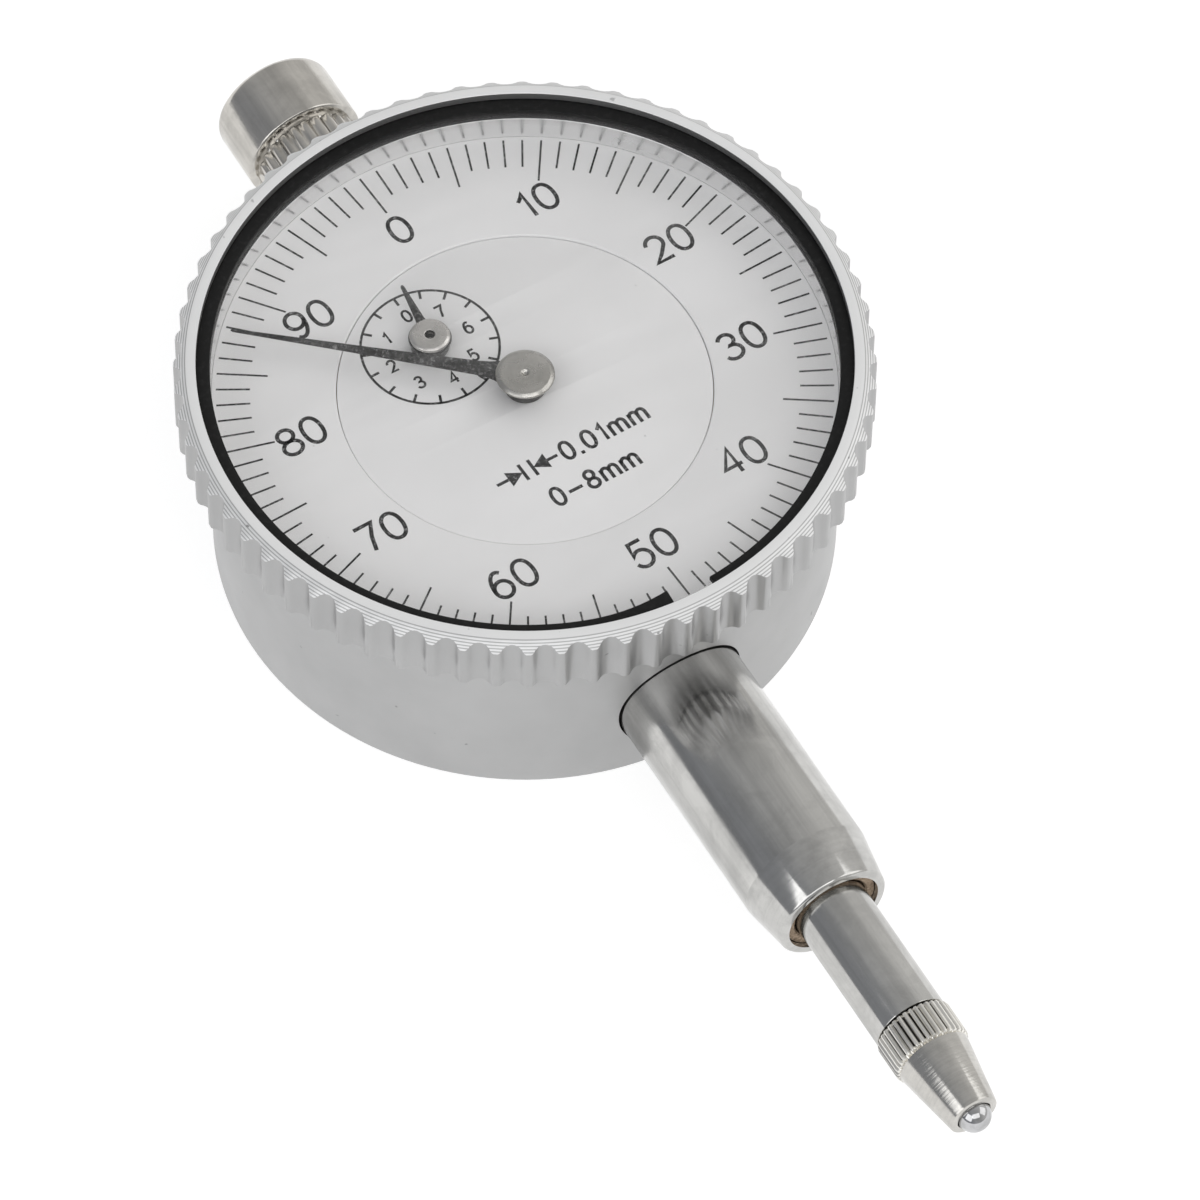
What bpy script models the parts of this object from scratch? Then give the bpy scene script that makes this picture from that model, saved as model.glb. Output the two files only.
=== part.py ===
"""A plunger dial indicator, 0.01 mm a division, as an assembly of separate pieces.

The indicator lies on its back cover with the dial facing +Z, the mounting stem and the
contact point towards -Y and the dust cap towards +Y. The origin is the centre of the back
cover's outer face. Sizes below are in millimetres; the helpers turn them into metres.
"""

import math

import bmesh
import bpy
from mathutils import Matrix, Vector

MM = 0.001

# Facets around a round shape, by its size
LARGE_STEPS = 54
MEDIUM_STEPS = 32
SMALL_STEPS = 24
PIN_STEPS = 12

# Heights above the back face
DIAL_Z = 13.9
SPINDLE_Z = 5.73

# Case and cover
CASE_R = 18.7
CASE_BORE_R = 17.2
CASE_BOTTOM = 0.15
CASE_TOP = 12.9
LEDGE_R = 14.8
LEDGE_TOP = 3.0
COVER_R = 17.5
COVER_THICK = 1.0
COVER_SCREW_CIRCLE_R = 15.9
COVER_SCREW_COUNT = 4
COVER_THREAD = (0.5, 2.75)
MOVEMENT_SCREW_COUNT = 3
PLATE_SEAT_Z = 11.2
PLATE_SEAT_THICK = 0.9
PLATE_SEAT_R = 15.0
SKIRT_BORE_R = 18.0
RETAINING_GROOVE = (11.95, 12.65)
RETAINING_GROOVE_R = 18.28
RETAINING_WIRE_R = 0.22
RETAINING_WIRE_CIRCLE_R = 17.97
CLEARANCE = 0.1
THREAD_R = 0.85
MOVEMENT_THREAD_R = 0.6
SLOT_HALF_WIDTH = 0.16

# Stem, spindle and contact point, as distances along Y
STEM_R = 4.0
STEM_INNER_END = -15.2
STEM_TAPER_START = -32.7
STEM_MOUTH = -35.85
STEM_MOUTH_R = 3.5
STEM_BORE_R = 2.5
BUSH_R = 2.9
BUSH_SEAT = -26.0
BUSH_RECESS = 0.35
SPINDLE_R = 2.26
SPINDLE_BORE_R = 2.36
SPINDLE_BOTTOM = -44.5
SPINDLE_TOP = 21.5
SPINDLE_SOCKET_R = 1.3
SPINDLE_SOCKET_DEPTH = 5.0
CONTACT_SHANK_R = 1.2
CONTACT_SHANK = 4.4
CONTACT_COLLAR_END = -47.0
CONTACT_COLLAR_R = 2.4
CONTACT_CONE_R = 2.25
CONTACT_MOUTH_R = 1.52
CONTACT_MOUTH = -51.35
BALL_R = 1.02
BALL_Y = -51.3

# Dust cap and its sleeve
CAP_R = 3.82
CAP_TOP = 31.6
CAP_SHOULDER = 27.1
CAP_FLUTE_R = 3.45
CAP_FOOT = 21.9
CAP_RIM = 0.7
CAP_ROOF = 1.0
CAP_WELL_R = 2.7
SLEEVE_R = 2.95
SLEEVE = (14.6, 26.2)
BOSS_R = 3.9
BOSS_END = 21.6

# Bezel, measured from the dial's top face upwards
BEZEL_CREST_R = 20.57
BEZEL_FLAT_R = 19.85
BEZEL_BOTTOM = -0.85
BEZEL_CREST_TOP = 2.6
LIP_TOP = 3.18
LIP_R = 19.24
SKIRT_R = 17.9
SKIRT_INNER_R = 17.1
SKIRT_GROOVE_R = 17.62
SKIRT_BOTTOM = -2.4
DIAL_SHELF = -0.45
BEZEL_WALL_R = 18.4
CRYSTAL_SEAT = 1.78
CRYSTAL_R = 19.4
CRYSTAL_HEIGHTS = (1.84, 2.08)
RING_GROOVE_R = 19.55
RING_GROOVE_TOP = 2.65
SCALLOPS = 68
SCALLOP_R = 0.95
SCALLOP_DEPTH = 0.47
SNAP_RING_R = 18.43
SNAP_RING_OUTER_R = 19.45
SNAP_RING_GAP = (174.6, 182.8)
SNAP_RING_HEIGHTS = (2.15, 2.6)
SNAP_RING_SPRUNG = 0.45
SNAP_RING_SPRUNG_ARC = 16.0

# Dial
DIAL_R = 18.33
DIAL_SPLIT_R = 11.1
DIAL_THICK = 0.35
CENTER_DIAL_DROP = 0.12
DIAL_SUPPORT_R = 10.6
DIAL_SUPPORT_BORE_R = 9.4

# Movement
COUNTER_X = -3.375
COUNTER_Y = 5.39
TAKEUP_ANGLE = -24.0
RACK_PITCH = 0.5
RACK_SPACES = (-17, 3)
RACK_PINION_TEETH = 16
WHEEL_TEETH = 80
PINION_TEETH = 10
WHEEL_Z = 9.15
WHEEL_THICK = 0.3
ARBOR_R = 0.35
ARBOR_BORE_R = 0.39
PIVOT_R = 0.22
PIVOT_HOLE_R = 0.28
PILLAR_XY = 9.3
PILLAR_R = 1.0
BASE_PLATE = (2.2, 3.0)
BASE_PLATE_R = 14.5
TOP_PLATE = (11.3, 12.2)
TOP_PLATE_R = 16.9
PLATE_HOLE_R = 0.6
GUIDE_SLOT_R = 0.75
BRIDGE = (8.15, 8.65)
BRIDGE_EYE_R = 1.8
GUIDE_PIN_Y = -6.0
GUIDE_PIN_R = 0.6
SPRING_PIN_R = 0.4
POST_TOP = 7.2
SPRING_PIN_Y = 4.5
SPRING_X = 3.65
SPRING_POST_Y = -13.2
TRAVEL = 8.3

# Pointers, measured from the dial's top face
MAIN_BLADE = (1.22, 1.30)
MAIN_BLADE_BEARING = -49.8
MAIN_BLADE_TIP = 17.6
MAIN_HUB_TOP = 1.54
MAIN_HUB_R = 1.75
MAIN_HUB_BORE_END = 1.2
CENTER_ARBOR_END = 1.15
COUNTER_BLADE = (0.73, 0.83)
COUNTER_BLADE_BEARING = 5.5
COUNTER_BLADE_TIP = 4.15
COUNTER_HUB_TOP = 1.18
COUNTER_HUB_R = 1.22
COUNTER_DRUM_R = 1.15

counter_centre = Vector((COUNTER_X, COUNTER_Y))
gear_centre_distance = counter_centre.length
wheel_pitch_r = gear_centre_distance * WHEEL_TEETH / (WHEEL_TEETH + PINION_TEETH)
gear_module = 2 * wheel_pitch_r / WHEEL_TEETH
rack_pinion_r = RACK_PITCH * RACK_PINION_TEETH / (2 * math.pi)
takeup_centre = Vector(
    (
        gear_centre_distance * math.cos(math.radians(TAKEUP_ANGLE)),
        gear_centre_distance * math.sin(math.radians(TAKEUP_ANGLE)),
    )
)


# ---------------------------------------------------------------- helpers


def clear_scene():
    for old in list(bpy.data.objects):
        bpy.data.objects.remove(old, do_unlink=True)


clear_scene()
parts = bpy.data.collections.new("dial_indicator")
cutters = bpy.data.collections.new("cutters")
bpy.context.scene.collection.children.link(parts)
bpy.context.scene.collection.children.link(cutters)


def material(name, colour, roughness, metallic):
    made = bpy.data.materials.new(name)
    made.use_nodes = True
    shader = made.node_tree.nodes["Principled BSDF"]
    shader.inputs["Base Color"].default_value = (*colour, 1.0)
    shader.inputs["Roughness"].default_value = roughness
    shader.inputs["Metallic"].default_value = metallic
    made.diffuse_color = (*colour, 1.0)
    return made


ALUMINIUM = material("satin_aluminium", (0.80, 0.80, 0.80), 0.38, 1.0)
STEEL = material("ground_steel", (0.52, 0.51, 0.49), 0.25, 1.0)
NICKEL = material("nickel_plate", (0.62, 0.60, 0.56), 0.28, 1.0)
BRONZE = material("sintered_bronze", (0.42, 0.31, 0.22), 0.55, 1.0)
BRASS = material("brass", (0.78, 0.60, 0.30), 0.35, 1.0)
SPRING_STEEL = material("spring_steel", (0.30, 0.30, 0.31), 0.35, 1.0)
BLACKED = material("blackened_steel", (0.02, 0.02, 0.02), 0.40, 0.0)
POINTER = material("pointer_steel", (0.12, 0.12, 0.12), 0.45, 0.6)
CHROME = material("polished_ball", (0.80, 0.80, 0.80), 0.06, 1.0)
DIAL_WHITE = material("dial_white", (0.82, 0.82, 0.80), 0.45, 0.0)
CRYSTAL = material("clear_crystal", (0.90, 0.92, 0.92), 0.05, 0.0)


def add_object(name, data, finish=None):
    made = bpy.data.objects.new(name, data)
    parts.objects.link(made)
    if finish:
        data.materials.append(finish)
    return made


def turned(name, profile, steps, finish=None, centre=(0, 0, 0), axis="Z", closed=True):
    """A turned shape: a profile of (radius, distance along the axis) and a Screw modifier."""
    area = 0.0
    for (r0, h0), (r1, h1) in zip(profile, profile[1:] + profile[:1]):
        area += r0 * h1 - r1 * h0
    ordered = list(profile) if area < 0 else list(reversed(profile))
    mesh = bpy.data.meshes.new(name)
    points = [(r * MM, 0.0, h * MM) for r, h in ordered]
    edges = [(i, i + 1) for i in range(len(points) - 1)]
    if closed:
        edges.append((len(points) - 1, 0))
    mesh.from_pydata(points, edges, [])
    made = add_object(name, mesh, finish=finish)
    made.location = [c * MM for c in centre]
    if axis == "Y":
        made.rotation_euler = (math.radians(-90), 0, 0)
    screw = made.modifiers.new("turned", "SCREW")
    screw.axis = "Z"
    screw.angle = 2 * math.pi
    screw.steps = steps
    screw.render_steps = steps
    screw.use_merge_vertices = True
    screw.merge_threshold = 0.000001
    screw.use_smooth_shade = True
    return made


def arc(radius, start, end, count, centre=(0.0, 0.0)):
    """Points on an arc between two compass bearings: degrees clockwise from +Y."""
    points = []
    for i in range(count):
        bearing = math.radians(start + (end - start) * i / (count - 1))
        x = centre[0] + radius * math.sin(bearing)
        y = centre[1] + radius * math.cos(bearing)
        points.append((x, y))
    return points


def circle(radius, count, centre=(0.0, 0.0)):
    return arc(radius, 0.0, 360.0 * (count - 1) / count, count, centre)


def flat(name, loops, low, high, finish=None, centre=(0.0, 0.0)):
    """A flat outline with holes, from one height to another: a filled and extruded 2D curve."""
    curve = bpy.data.curves.new(name, "CURVE")
    curve.dimensions = "2D"
    curve.fill_mode = "BOTH"
    curve.extrude = (high - low) * MM / 2
    for loop in loops:
        spline = curve.splines.new("POLY")
        spline.points.add(len(loop) - 1)
        for point, (x, y) in zip(spline.points, loop):
            point.co = (x * MM, y * MM, 0.0, 1.0)
        spline.use_cyclic_u = True
    made = add_object(name, curve, finish=finish)
    made.location = (centre[0] * MM, centre[1] * MM, (low + high) * MM / 2)
    return made


def wire(name, points, radius, finish):
    """A round wire through the points, with filled ends."""
    curve = bpy.data.curves.new(name, "CURVE")
    curve.dimensions = "3D"
    curve.bevel_depth = radius * MM
    curve.bevel_resolution = 2
    curve.use_fill_caps = True
    spline = curve.splines.new("POLY")
    spline.points.add(len(points) - 1)
    for point, place in zip(spline.points, points):
        point.co = (*(c * MM for c in place), 1.0)
    return add_object(name, curve, finish=finish)


def as_mesh(curve_object):
    """The same object as a mesh with its caps welded, so that it can take a Boolean."""
    bpy.context.view_layer.update()
    evaluated = curve_object.evaluated_get(bpy.context.evaluated_depsgraph_get())
    mesh = bpy.data.meshes.new_from_object(evaluated)
    cleaner = bmesh.new()
    cleaner.from_mesh(mesh)
    bmesh.ops.remove_doubles(cleaner, verts=cleaner.verts, dist=0.000001)
    cleaner.to_mesh(mesh)
    cleaner.free()
    name = curve_object.name
    place = curve_object.matrix_world.copy()
    bpy.data.objects.remove(curve_object, do_unlink=True)
    made = add_object(name, mesh)
    made.matrix_world = place
    return made


def rod(name, radius, start, end, segments=24, finish=None):
    """A plain cylinder between two points."""
    start = Vector(start) * MM
    end = Vector(end) * MM
    builder = bmesh.new()
    bmesh.ops.create_cone(
        builder,
        cap_ends=True,
        segments=segments,
        radius1=radius * MM,
        radius2=radius * MM,
        depth=(end - start).length,
    )
    mesh = bpy.data.meshes.new(name)
    builder.to_mesh(mesh)
    builder.free()
    made = add_object(name, mesh, finish=finish)
    turn = (end - start).to_track_quat("Z", "Y").to_matrix().to_4x4()
    made.matrix_world = Matrix.Translation((start + end) / 2) @ turn
    return made


def block(name, low, high):
    builder = bmesh.new()
    bmesh.ops.create_cube(builder, size=1.0)
    mesh = bpy.data.meshes.new(name)
    size = [(b - a) * MM for a, b in zip(low, high)]
    middle = [(b + a) * MM / 2 for a, b in zip(low, high)]
    bmesh.ops.transform(builder, matrix=Matrix.Diagonal((*size, 1.0)), verts=builder.verts)
    builder.to_mesh(mesh)
    builder.free()
    made = add_object(name, mesh)
    made.location = middle
    return made


def boolean(target, tool, operation):
    step = target.modifiers.new(tool.name, "BOOLEAN")
    step.operation = operation
    step.solver = "EXACT"
    step.object = tool
    parts.objects.unlink(tool)
    cutters.objects.link(tool)
    tool.hide_render = True
    tool.display_type = "WIRE"


def cut(target, tool):
    boolean(target, tool, "DIFFERENCE")


def join(target, tool):
    boolean(target, tool, "UNION")


def gear_outline(teeth, module, phase):
    """A straight-flanked tooth form. The phase is the angle of one tooth's middle, in degrees."""
    pitch_r = module * teeth / 2
    root_r = pitch_r - 1.15 * module
    tip_r = pitch_r + 0.8 * module
    pitch_angle = 2 * math.pi / teeth
    root_half = 0.26 * pitch_angle
    tip_half = 0.11 * pitch_angle
    points = []
    for i in range(teeth):
        middle = math.radians(phase) + i * pitch_angle
        corners = ((root_r, -root_half), (tip_r, -tip_half), (tip_r, tip_half), (root_r, root_half))
        for radius, offset in corners:
            points.append((radius * math.cos(middle + offset), radius * math.sin(middle + offset)))
    return points


def on_axis(name, place, members):
    """An empty on a joint's axis, with its moving pieces as children."""
    empty = bpy.data.objects.new(name, None)
    parts.objects.link(empty)
    empty.location = [c * MM for c in place]
    bpy.context.view_layer.update()
    for member in members:
        member.parent = empty
        member.matrix_parent_inverse = empty.matrix_world.inverted()


# ---------------------------------------------------------------- case


def make_case():
    profile = [
        (SKIRT_BORE_R, CASE_TOP),
        (CASE_R, CASE_TOP),
        (CASE_R, CASE_BOTTOM + 0.2),
        (CASE_R - 0.2, CASE_BOTTOM),
        (COVER_R + CLEARANCE, CASE_BOTTOM),
        (COVER_R + CLEARANCE, COVER_THICK + CLEARANCE),
        (LEDGE_R, COVER_THICK + CLEARANCE),
        (LEDGE_R, LEDGE_TOP),
        (CASE_BORE_R, LEDGE_TOP),
        (CASE_BORE_R, PLATE_SEAT_Z - PLATE_SEAT_THICK),
        (PLATE_SEAT_R, PLATE_SEAT_Z - PLATE_SEAT_THICK),
        (PLATE_SEAT_R, PLATE_SEAT_Z),
        (SKIRT_BORE_R, PLATE_SEAT_Z),
        (SKIRT_BORE_R, RETAINING_GROOVE[0]),
        (RETAINING_GROOVE_R, RETAINING_GROOVE[0]),
        (RETAINING_GROOVE_R, RETAINING_GROOVE[1]),
        (SKIRT_BORE_R, RETAINING_GROOVE[1]),
    ]
    case = turned("case_body", profile, LARGE_STEPS, ALUMINIUM)
    boss_start = (CASE_BORE_R + CASE_R) / 2 - 0.6
    boss = rod("case_boss", BOSS_R, (0, boss_start, SPINDLE_Z), (0, BOSS_END, SPINDLE_Z), MEDIUM_STEPS)
    join(case, boss)
    inside, outside = LEDGE_R - 2, CASE_R + 2
    ends = (0, -inside, SPINDLE_Z), (0, -outside, SPINDLE_Z)
    cut(case, rod("stem_hole", STEM_R + CLEARANCE, *ends, MEDIUM_STEPS))
    ends = (0, inside, SPINDLE_Z), (0, BOSS_END + 2, SPINDLE_Z)
    cut(case, rod("sleeve_hole", SLEEVE_R + CLEARANCE, *ends, MEDIUM_STEPS))
    low, high = COVER_THREAD
    for i, (x, y) in enumerate(cover_screw_places()):
        cut(case, rod(f"cover_thread_{i + 1}", THREAD_R, (x, y, low), (x, y, high), PIN_STEPS))
    low, high = PLATE_SEAT_Z - 2, PLATE_SEAT_Z + 1
    for i, (x, y) in enumerate(movement_screw_places()):
        cut(case, rod(f"movement_thread_{i + 1}", MOVEMENT_THREAD_R, (x, y, low), (x, y, high), PIN_STEPS))


def cover_screw_places():
    return arc(COVER_SCREW_CIRCLE_R, 45, 315, COVER_SCREW_COUNT)


def movement_screw_places():
    return arc(COVER_SCREW_CIRCLE_R, 90, 330, MOVEMENT_SCREW_COUNT)


def slotted_screw(name, x, y, profile, slot_low, slot_high, slot_length):
    screw = turned(name, profile, PIN_STEPS, STEEL, (x, y, 0), closed=False)
    slot = block(
        name + "_slot",
        (x - slot_length / 2, y - SLOT_HALF_WIDTH, slot_low),
        (x + slot_length / 2, y + SLOT_HALF_WIDTH, slot_high),
    )
    cut(screw, slot)
    return screw


def make_cover():
    profile = [
        (0, COVER_THICK),
        (COVER_R, COVER_THICK),
        (COVER_R, 0.15),
        (COVER_R - 0.15, 0),
        (0, 0),
    ]
    cover = turned("back_cover", profile, LARGE_STEPS, ALUMINIUM, closed=False)
    for i, (x, y) in enumerate(cover_screw_places()):
        sink = [(0, 1.5), (0.9, 1.5), (0.9, 0.8), (1.6, 0.1), (1.6, -0.5), (0, -0.5)]
        cut(cover, turned(f"countersink_{i + 1}", sink, PIN_STEPS, None, (x, y, 0), closed=False))
        head = [(0, 2.55), (0.6, 2.55), (0.72, 2.4), (0.72, 0.8), (1.4, 0.15), (1.4, 0.05), (0, 0.05)]
        slotted_screw(f"back_cover_screw_{i + 1}", x, y, head, -0.3, 0.35, 3.2)


def make_stem():
    profile = [
        (STEM_BORE_R, STEM_INNER_END),
        (STEM_R, STEM_INNER_END),
        (STEM_R, STEM_TAPER_START),
        (STEM_MOUTH_R, STEM_MOUTH + 0.08),
        (STEM_MOUTH_R - 0.08, STEM_MOUTH),
        (BUSH_R + 0.05, STEM_MOUTH),
        (BUSH_R + 0.05, BUSH_SEAT),
        (STEM_BORE_R, BUSH_SEAT),
    ]
    turned("stem", profile, MEDIUM_STEPS, STEEL, (0, 0, SPINDLE_Z), "Y")
    bush = [
        (BUSH_R, BUSH_SEAT - CLEARANCE),
        (BUSH_R, STEM_MOUTH + BUSH_RECESS),
        (SPINDLE_BORE_R + 0.1, STEM_MOUTH + BUSH_RECESS),
        (SPINDLE_BORE_R, STEM_MOUTH + BUSH_RECESS + 0.1),
        (SPINDLE_BORE_R, BUSH_SEAT - CLEARANCE),
    ]
    turned("stem_bushing", bush, MEDIUM_STEPS, BRONZE, (0, 0, SPINDLE_Z), "Y")


def make_top_end():
    sleeve = [
        (SPINDLE_BORE_R, SLEEVE[1]),
        (SLEEVE_R, SLEEVE[1]),
        (SLEEVE_R, SLEEVE[0]),
        (SPINDLE_BORE_R, SLEEVE[0]),
    ]
    turned("upper_bushing", sleeve, MEDIUM_STEPS, BRONZE, (0, 0, SPINDLE_Z), "Y")
    edge = []
    for degrees in (0, 30, 60, 90):
        a = math.radians(degrees)
        edge.append((CAP_R - CAP_RIM * (1 - math.sin(a)), CAP_TOP - CAP_RIM * (1 - math.cos(a))))
    cap = (
        [(0, CAP_TOP)]
        + edge
        + [
            (CAP_R, CAP_SHOULDER + 0.1),
            (CAP_R - 0.1, CAP_SHOULDER),
            (CAP_FLUTE_R, CAP_SHOULDER),
            (CAP_FLUTE_R, CAP_FOOT + 0.2),
            (CAP_FLUTE_R - 0.2, CAP_FOOT),
            (SLEEVE_R + 0.05, CAP_FOOT),
            (SLEEVE_R + 0.05, SLEEVE[1] + 0.2),
            (CAP_WELL_R, SLEEVE[1] + 0.2),
            (CAP_WELL_R, CAP_TOP - CAP_ROOF),
            (0, CAP_TOP - CAP_ROOF),
        ]
    )
    turned("dust_cap", cap, MEDIUM_STEPS, NICKEL, (0, 0, SPINDLE_Z), "Y", closed=False)


# ---------------------------------------------------------------- spindle


def make_spindle():
    profile = [
        (0, SPINDLE_TOP),
        (SPINDLE_R - 0.4, SPINDLE_TOP),
        (SPINDLE_R, SPINDLE_TOP - 0.4),
        (SPINDLE_R, SPINDLE_BOTTOM),
        (SPINDLE_SOCKET_R, SPINDLE_BOTTOM),
        (SPINDLE_SOCKET_R, SPINDLE_BOTTOM + SPINDLE_SOCKET_DEPTH),
        (0, SPINDLE_BOTTOM + SPINDLE_SOCKET_DEPTH),
    ]
    spindle = turned("spindle_rod", profile, MEDIUM_STEPS, STEEL, (0, 0, SPINDLE_Z), "Y", closed=False)
    spaces = []
    rack_x = COUNTER_X + rack_pinion_r
    rack_module = RACK_PITCH / math.pi
    for i in range(*RACK_SPACES):
        y = COUNTER_Y + i * RACK_PITCH
        spaces.append(
            [
                (rack_x + 1.25 * rack_module, y - 0.1),
                (rack_x + 1.25 * rack_module, y + 0.1),
                (rack_x - 2.0 * rack_module, y + 0.225),
                (rack_x - 2.0 * rack_module, y - 0.225),
            ]
        )
    rack = as_mesh(flat("rack_spaces", spaces, SPINDLE_Z - 1.8, SPINDLE_Z + 1.8))
    cut(spindle, rack)
    ends = (0, GUIDE_PIN_Y, SPINDLE_Z - 0.8), (0, GUIDE_PIN_Y, 0)
    cut(spindle, rod("guide_pin_hole", GUIDE_PIN_R + 0.05, *ends, PIN_STEPS))
    ends = (0.8, SPRING_PIN_Y, SPINDLE_Z), (5, SPRING_PIN_Y, SPINDLE_Z)
    cut(spindle, rod("spring_pin_hole", SPRING_PIN_R + 0.05, *ends, PIN_STEPS))
    ends = (0, GUIDE_PIN_Y, SPINDLE_Z - 0.9), (0, GUIDE_PIN_Y, 1.9)
    guide_pin = rod("guide_pin", GUIDE_PIN_R, *ends, 16, STEEL)
    ends = (0.9, SPRING_PIN_Y, SPINDLE_Z), (4.7, SPRING_PIN_Y, SPINDLE_Z)
    spring_pin = rod("spring_pin", SPRING_PIN_R, *ends, PIN_STEPS, STEEL)
    return [spindle, guide_pin, spring_pin]


def make_contact():
    profile = [
        (0, SPINDLE_BOTTOM + CONTACT_SHANK),
        (CONTACT_SHANK_R, SPINDLE_BOTTOM + CONTACT_SHANK),
        (CONTACT_SHANK_R, SPINDLE_BOTTOM - 0.1),
        (CONTACT_COLLAR_R - 0.1, SPINDLE_BOTTOM - 0.1),
        (CONTACT_COLLAR_R, SPINDLE_BOTTOM - 0.2),
        (CONTACT_COLLAR_R, CONTACT_COLLAR_END + 0.1),
        (CONTACT_COLLAR_R - 0.1, CONTACT_COLLAR_END),
        (CONTACT_CONE_R, CONTACT_COLLAR_END),
        (CONTACT_MOUTH_R, CONTACT_MOUTH + 0.1),
        (CONTACT_MOUTH_R - 0.1, CONTACT_MOUTH),
        (BALL_R + 0.05, CONTACT_MOUTH),
        (BALL_R + 0.05, BALL_Y + 0.3),
        (0.55, BALL_Y + 1.1),
        (0, BALL_Y + 1.15),
    ]
    point = turned("contact_point", profile, SMALL_STEPS, NICKEL, (0, 0, SPINDLE_Z), "Y", closed=False)
    builder = bmesh.new()
    bmesh.ops.create_uvsphere(builder, u_segments=16, v_segments=10, radius=BALL_R * MM)
    mesh = bpy.data.meshes.new("contact_ball")
    builder.to_mesh(mesh)
    builder.free()
    ball = add_object("contact_ball", mesh, finish=CHROME)
    ball.location = (0, BALL_Y * MM, SPINDLE_Z * MM)
    mesh.shade_smooth()
    return [point, ball]


def make_return_spring():
    """An extension spring from the post in the case to the pin on the spindle."""
    turns = 12
    per_turn = 7
    radius = 0.45
    end_gap = 0.7
    start = SPRING_POST_Y + end_gap + 0.05
    end = SPRING_PIN_Y - end_gap
    points = []
    for i in range(turns * per_turn + 1):
        angle = 2 * math.pi * i / per_turn
        y = start + (end - start) * i / (turns * per_turn)
        points.append((SPRING_X + radius * math.cos(angle), y, SPINDLE_Z + radius * math.sin(angle)))
    return wire("return_spring", points, 0.11, SPRING_STEEL)


# ---------------------------------------------------------------- movement


def make_frame_plates():
    pillars = [(sx * PILLAR_XY, sy * PILLAR_XY) for sx in (-1, 1) for sy in (-1, 1)]

    holes = [circle(PLATE_HOLE_R, PIN_STEPS, place) for place in pillars]
    holes += [circle(PLATE_HOLE_R, PIN_STEPS, place) for place in movement_screw_places()]
    holes.append(circle(PLATE_HOLE_R, PIN_STEPS))
    holes.append(circle(PLATE_HOLE_R, PIN_STEPS, counter_centre))
    holes.append(circle(PIVOT_HOLE_R, PIN_STEPS, takeup_centre))
    flat("movement_plate", [circle(TOP_PLATE_R, LARGE_STEPS)] + holes, *TOP_PLATE, BRASS)

    slot_low = GUIDE_PIN_Y
    slot_high = GUIDE_PIN_Y + TRAVEL
    slot = arc(GUIDE_SLOT_R, 90, 270, 7, (0, slot_low)) + arc(GUIDE_SLOT_R, 270, 450, 7, (0, slot_high))
    holes = [slot]
    holes.append(circle(PIVOT_HOLE_R, PIN_STEPS, counter_centre))
    holes.append(circle(PIVOT_HOLE_R, PIN_STEPS, takeup_centre))
    flat("base_plate", [circle(BASE_PLATE_R, MEDIUM_STEPS)] + holes, *BASE_PLATE, BRASS)

    ends = [(PILLAR_XY, PILLAR_XY), (-PILLAR_XY, -PILLAR_XY)]
    outline = arc(BRIDGE_EYE_R, -90, 180, 9, ends[0]) + arc(BRIDGE_EYE_R, 90, 360, 9, ends[1])
    holes = [circle(PILLAR_R + 0.05, PIN_STEPS, place) for place in ends]
    holes.append(circle(PIVOT_HOLE_R, PIN_STEPS))
    flat("center_bridge", [outline] + holes, *BRIDGE, BRASS)

    for i, (x, y) in enumerate(pillars):
        low = BASE_PLATE[1] + 0.1
        high = TOP_PLATE[0] - 0.1
        thread = [(0, high - 2.0), (0.55, high - 2.0), (0.55, high)]
        profile = thread + [(PILLAR_R, high), (PILLAR_R, low), (0, low)]
        turned(f"plate_pillar_{i + 1}", profile, PIN_STEPS, BRASS, (x, y, 0), closed=False)
        head = TOP_PLATE[1] + 0.05
        screw = [(0, head + 0.5), (0.95, head + 0.5), (0.95, head)]
        screw += [(0.5, head), (0.5, head - 2.2), (0, head - 2.2)]
        slotted_screw(f"plate_screw_{i + 1}", x, y, screw, head + 0.25, head + 1, 3)

    for i, (x, y) in enumerate(movement_screw_places()):
        head = TOP_PLATE[1] + 0.05
        screw = [(0, head + 0.4), (0.85, head + 0.4), (0.85, head)]
        screw += [(0.5, head), (0.5, head - 1.7), (0, head - 1.7)]
        slotted_screw(f"movement_screw_{i + 1}", x, y, screw, head + 0.2, head + 1, 3)

    foot = BASE_PLATE[1] + CLEARANCE
    ends = (SPRING_X, SPRING_POST_Y, foot), (SPRING_X, SPRING_POST_Y, POST_TOP)
    rod("spring_post", SPRING_PIN_R, *ends, PIN_STEPS, STEEL)


def make_counter_shaft():
    x, y = counter_centre
    profile = [
        (0, DIAL_Z + 0.6),
        (ARBOR_R - 0.05, DIAL_Z + 0.6),
        (ARBOR_R, DIAL_Z + 0.5),
        (ARBOR_R, BASE_PLATE[1] + 0.1),
        (PIVOT_R, BASE_PLATE[1] + 0.1),
        (PIVOT_R, BASE_PLATE[0] + 0.1),
        (0, BASE_PLATE[0] + 0.1),
    ]
    arbor = turned("counter_arbor", profile, PIN_STEPS, STEEL, (x, y, 0), closed=False)
    bore = circle(ARBOR_BORE_R, PIN_STEPS)
    teeth = gear_outline(RACK_PINION_TEETH, RACK_PITCH / math.pi, 0.0)
    pinion = flat("rack_pinion", [teeth, bore], SPINDLE_Z - 0.85, SPINDLE_Z + 0.85, STEEL, (x, y))
    phase = math.degrees(math.atan2(-y, -x))
    teeth = gear_outline(WHEEL_TEETH, gear_module, phase)
    spokes = [circle(1.35, 8, place) for place in circle(3.2, 5)]
    wheel = flat("drive_gear", [teeth, bore] + spokes, WHEEL_Z, WHEEL_Z + WHEEL_THICK, BRASS, (x, y))
    return [arbor, pinion, wheel]


def pinion_phase():
    """The centre pinion has a space where the drive gear has its tooth."""
    towards_counter = math.degrees(math.atan2(COUNTER_Y, COUNTER_X))
    return towards_counter + 180.0 / PINION_TEETH


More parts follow.
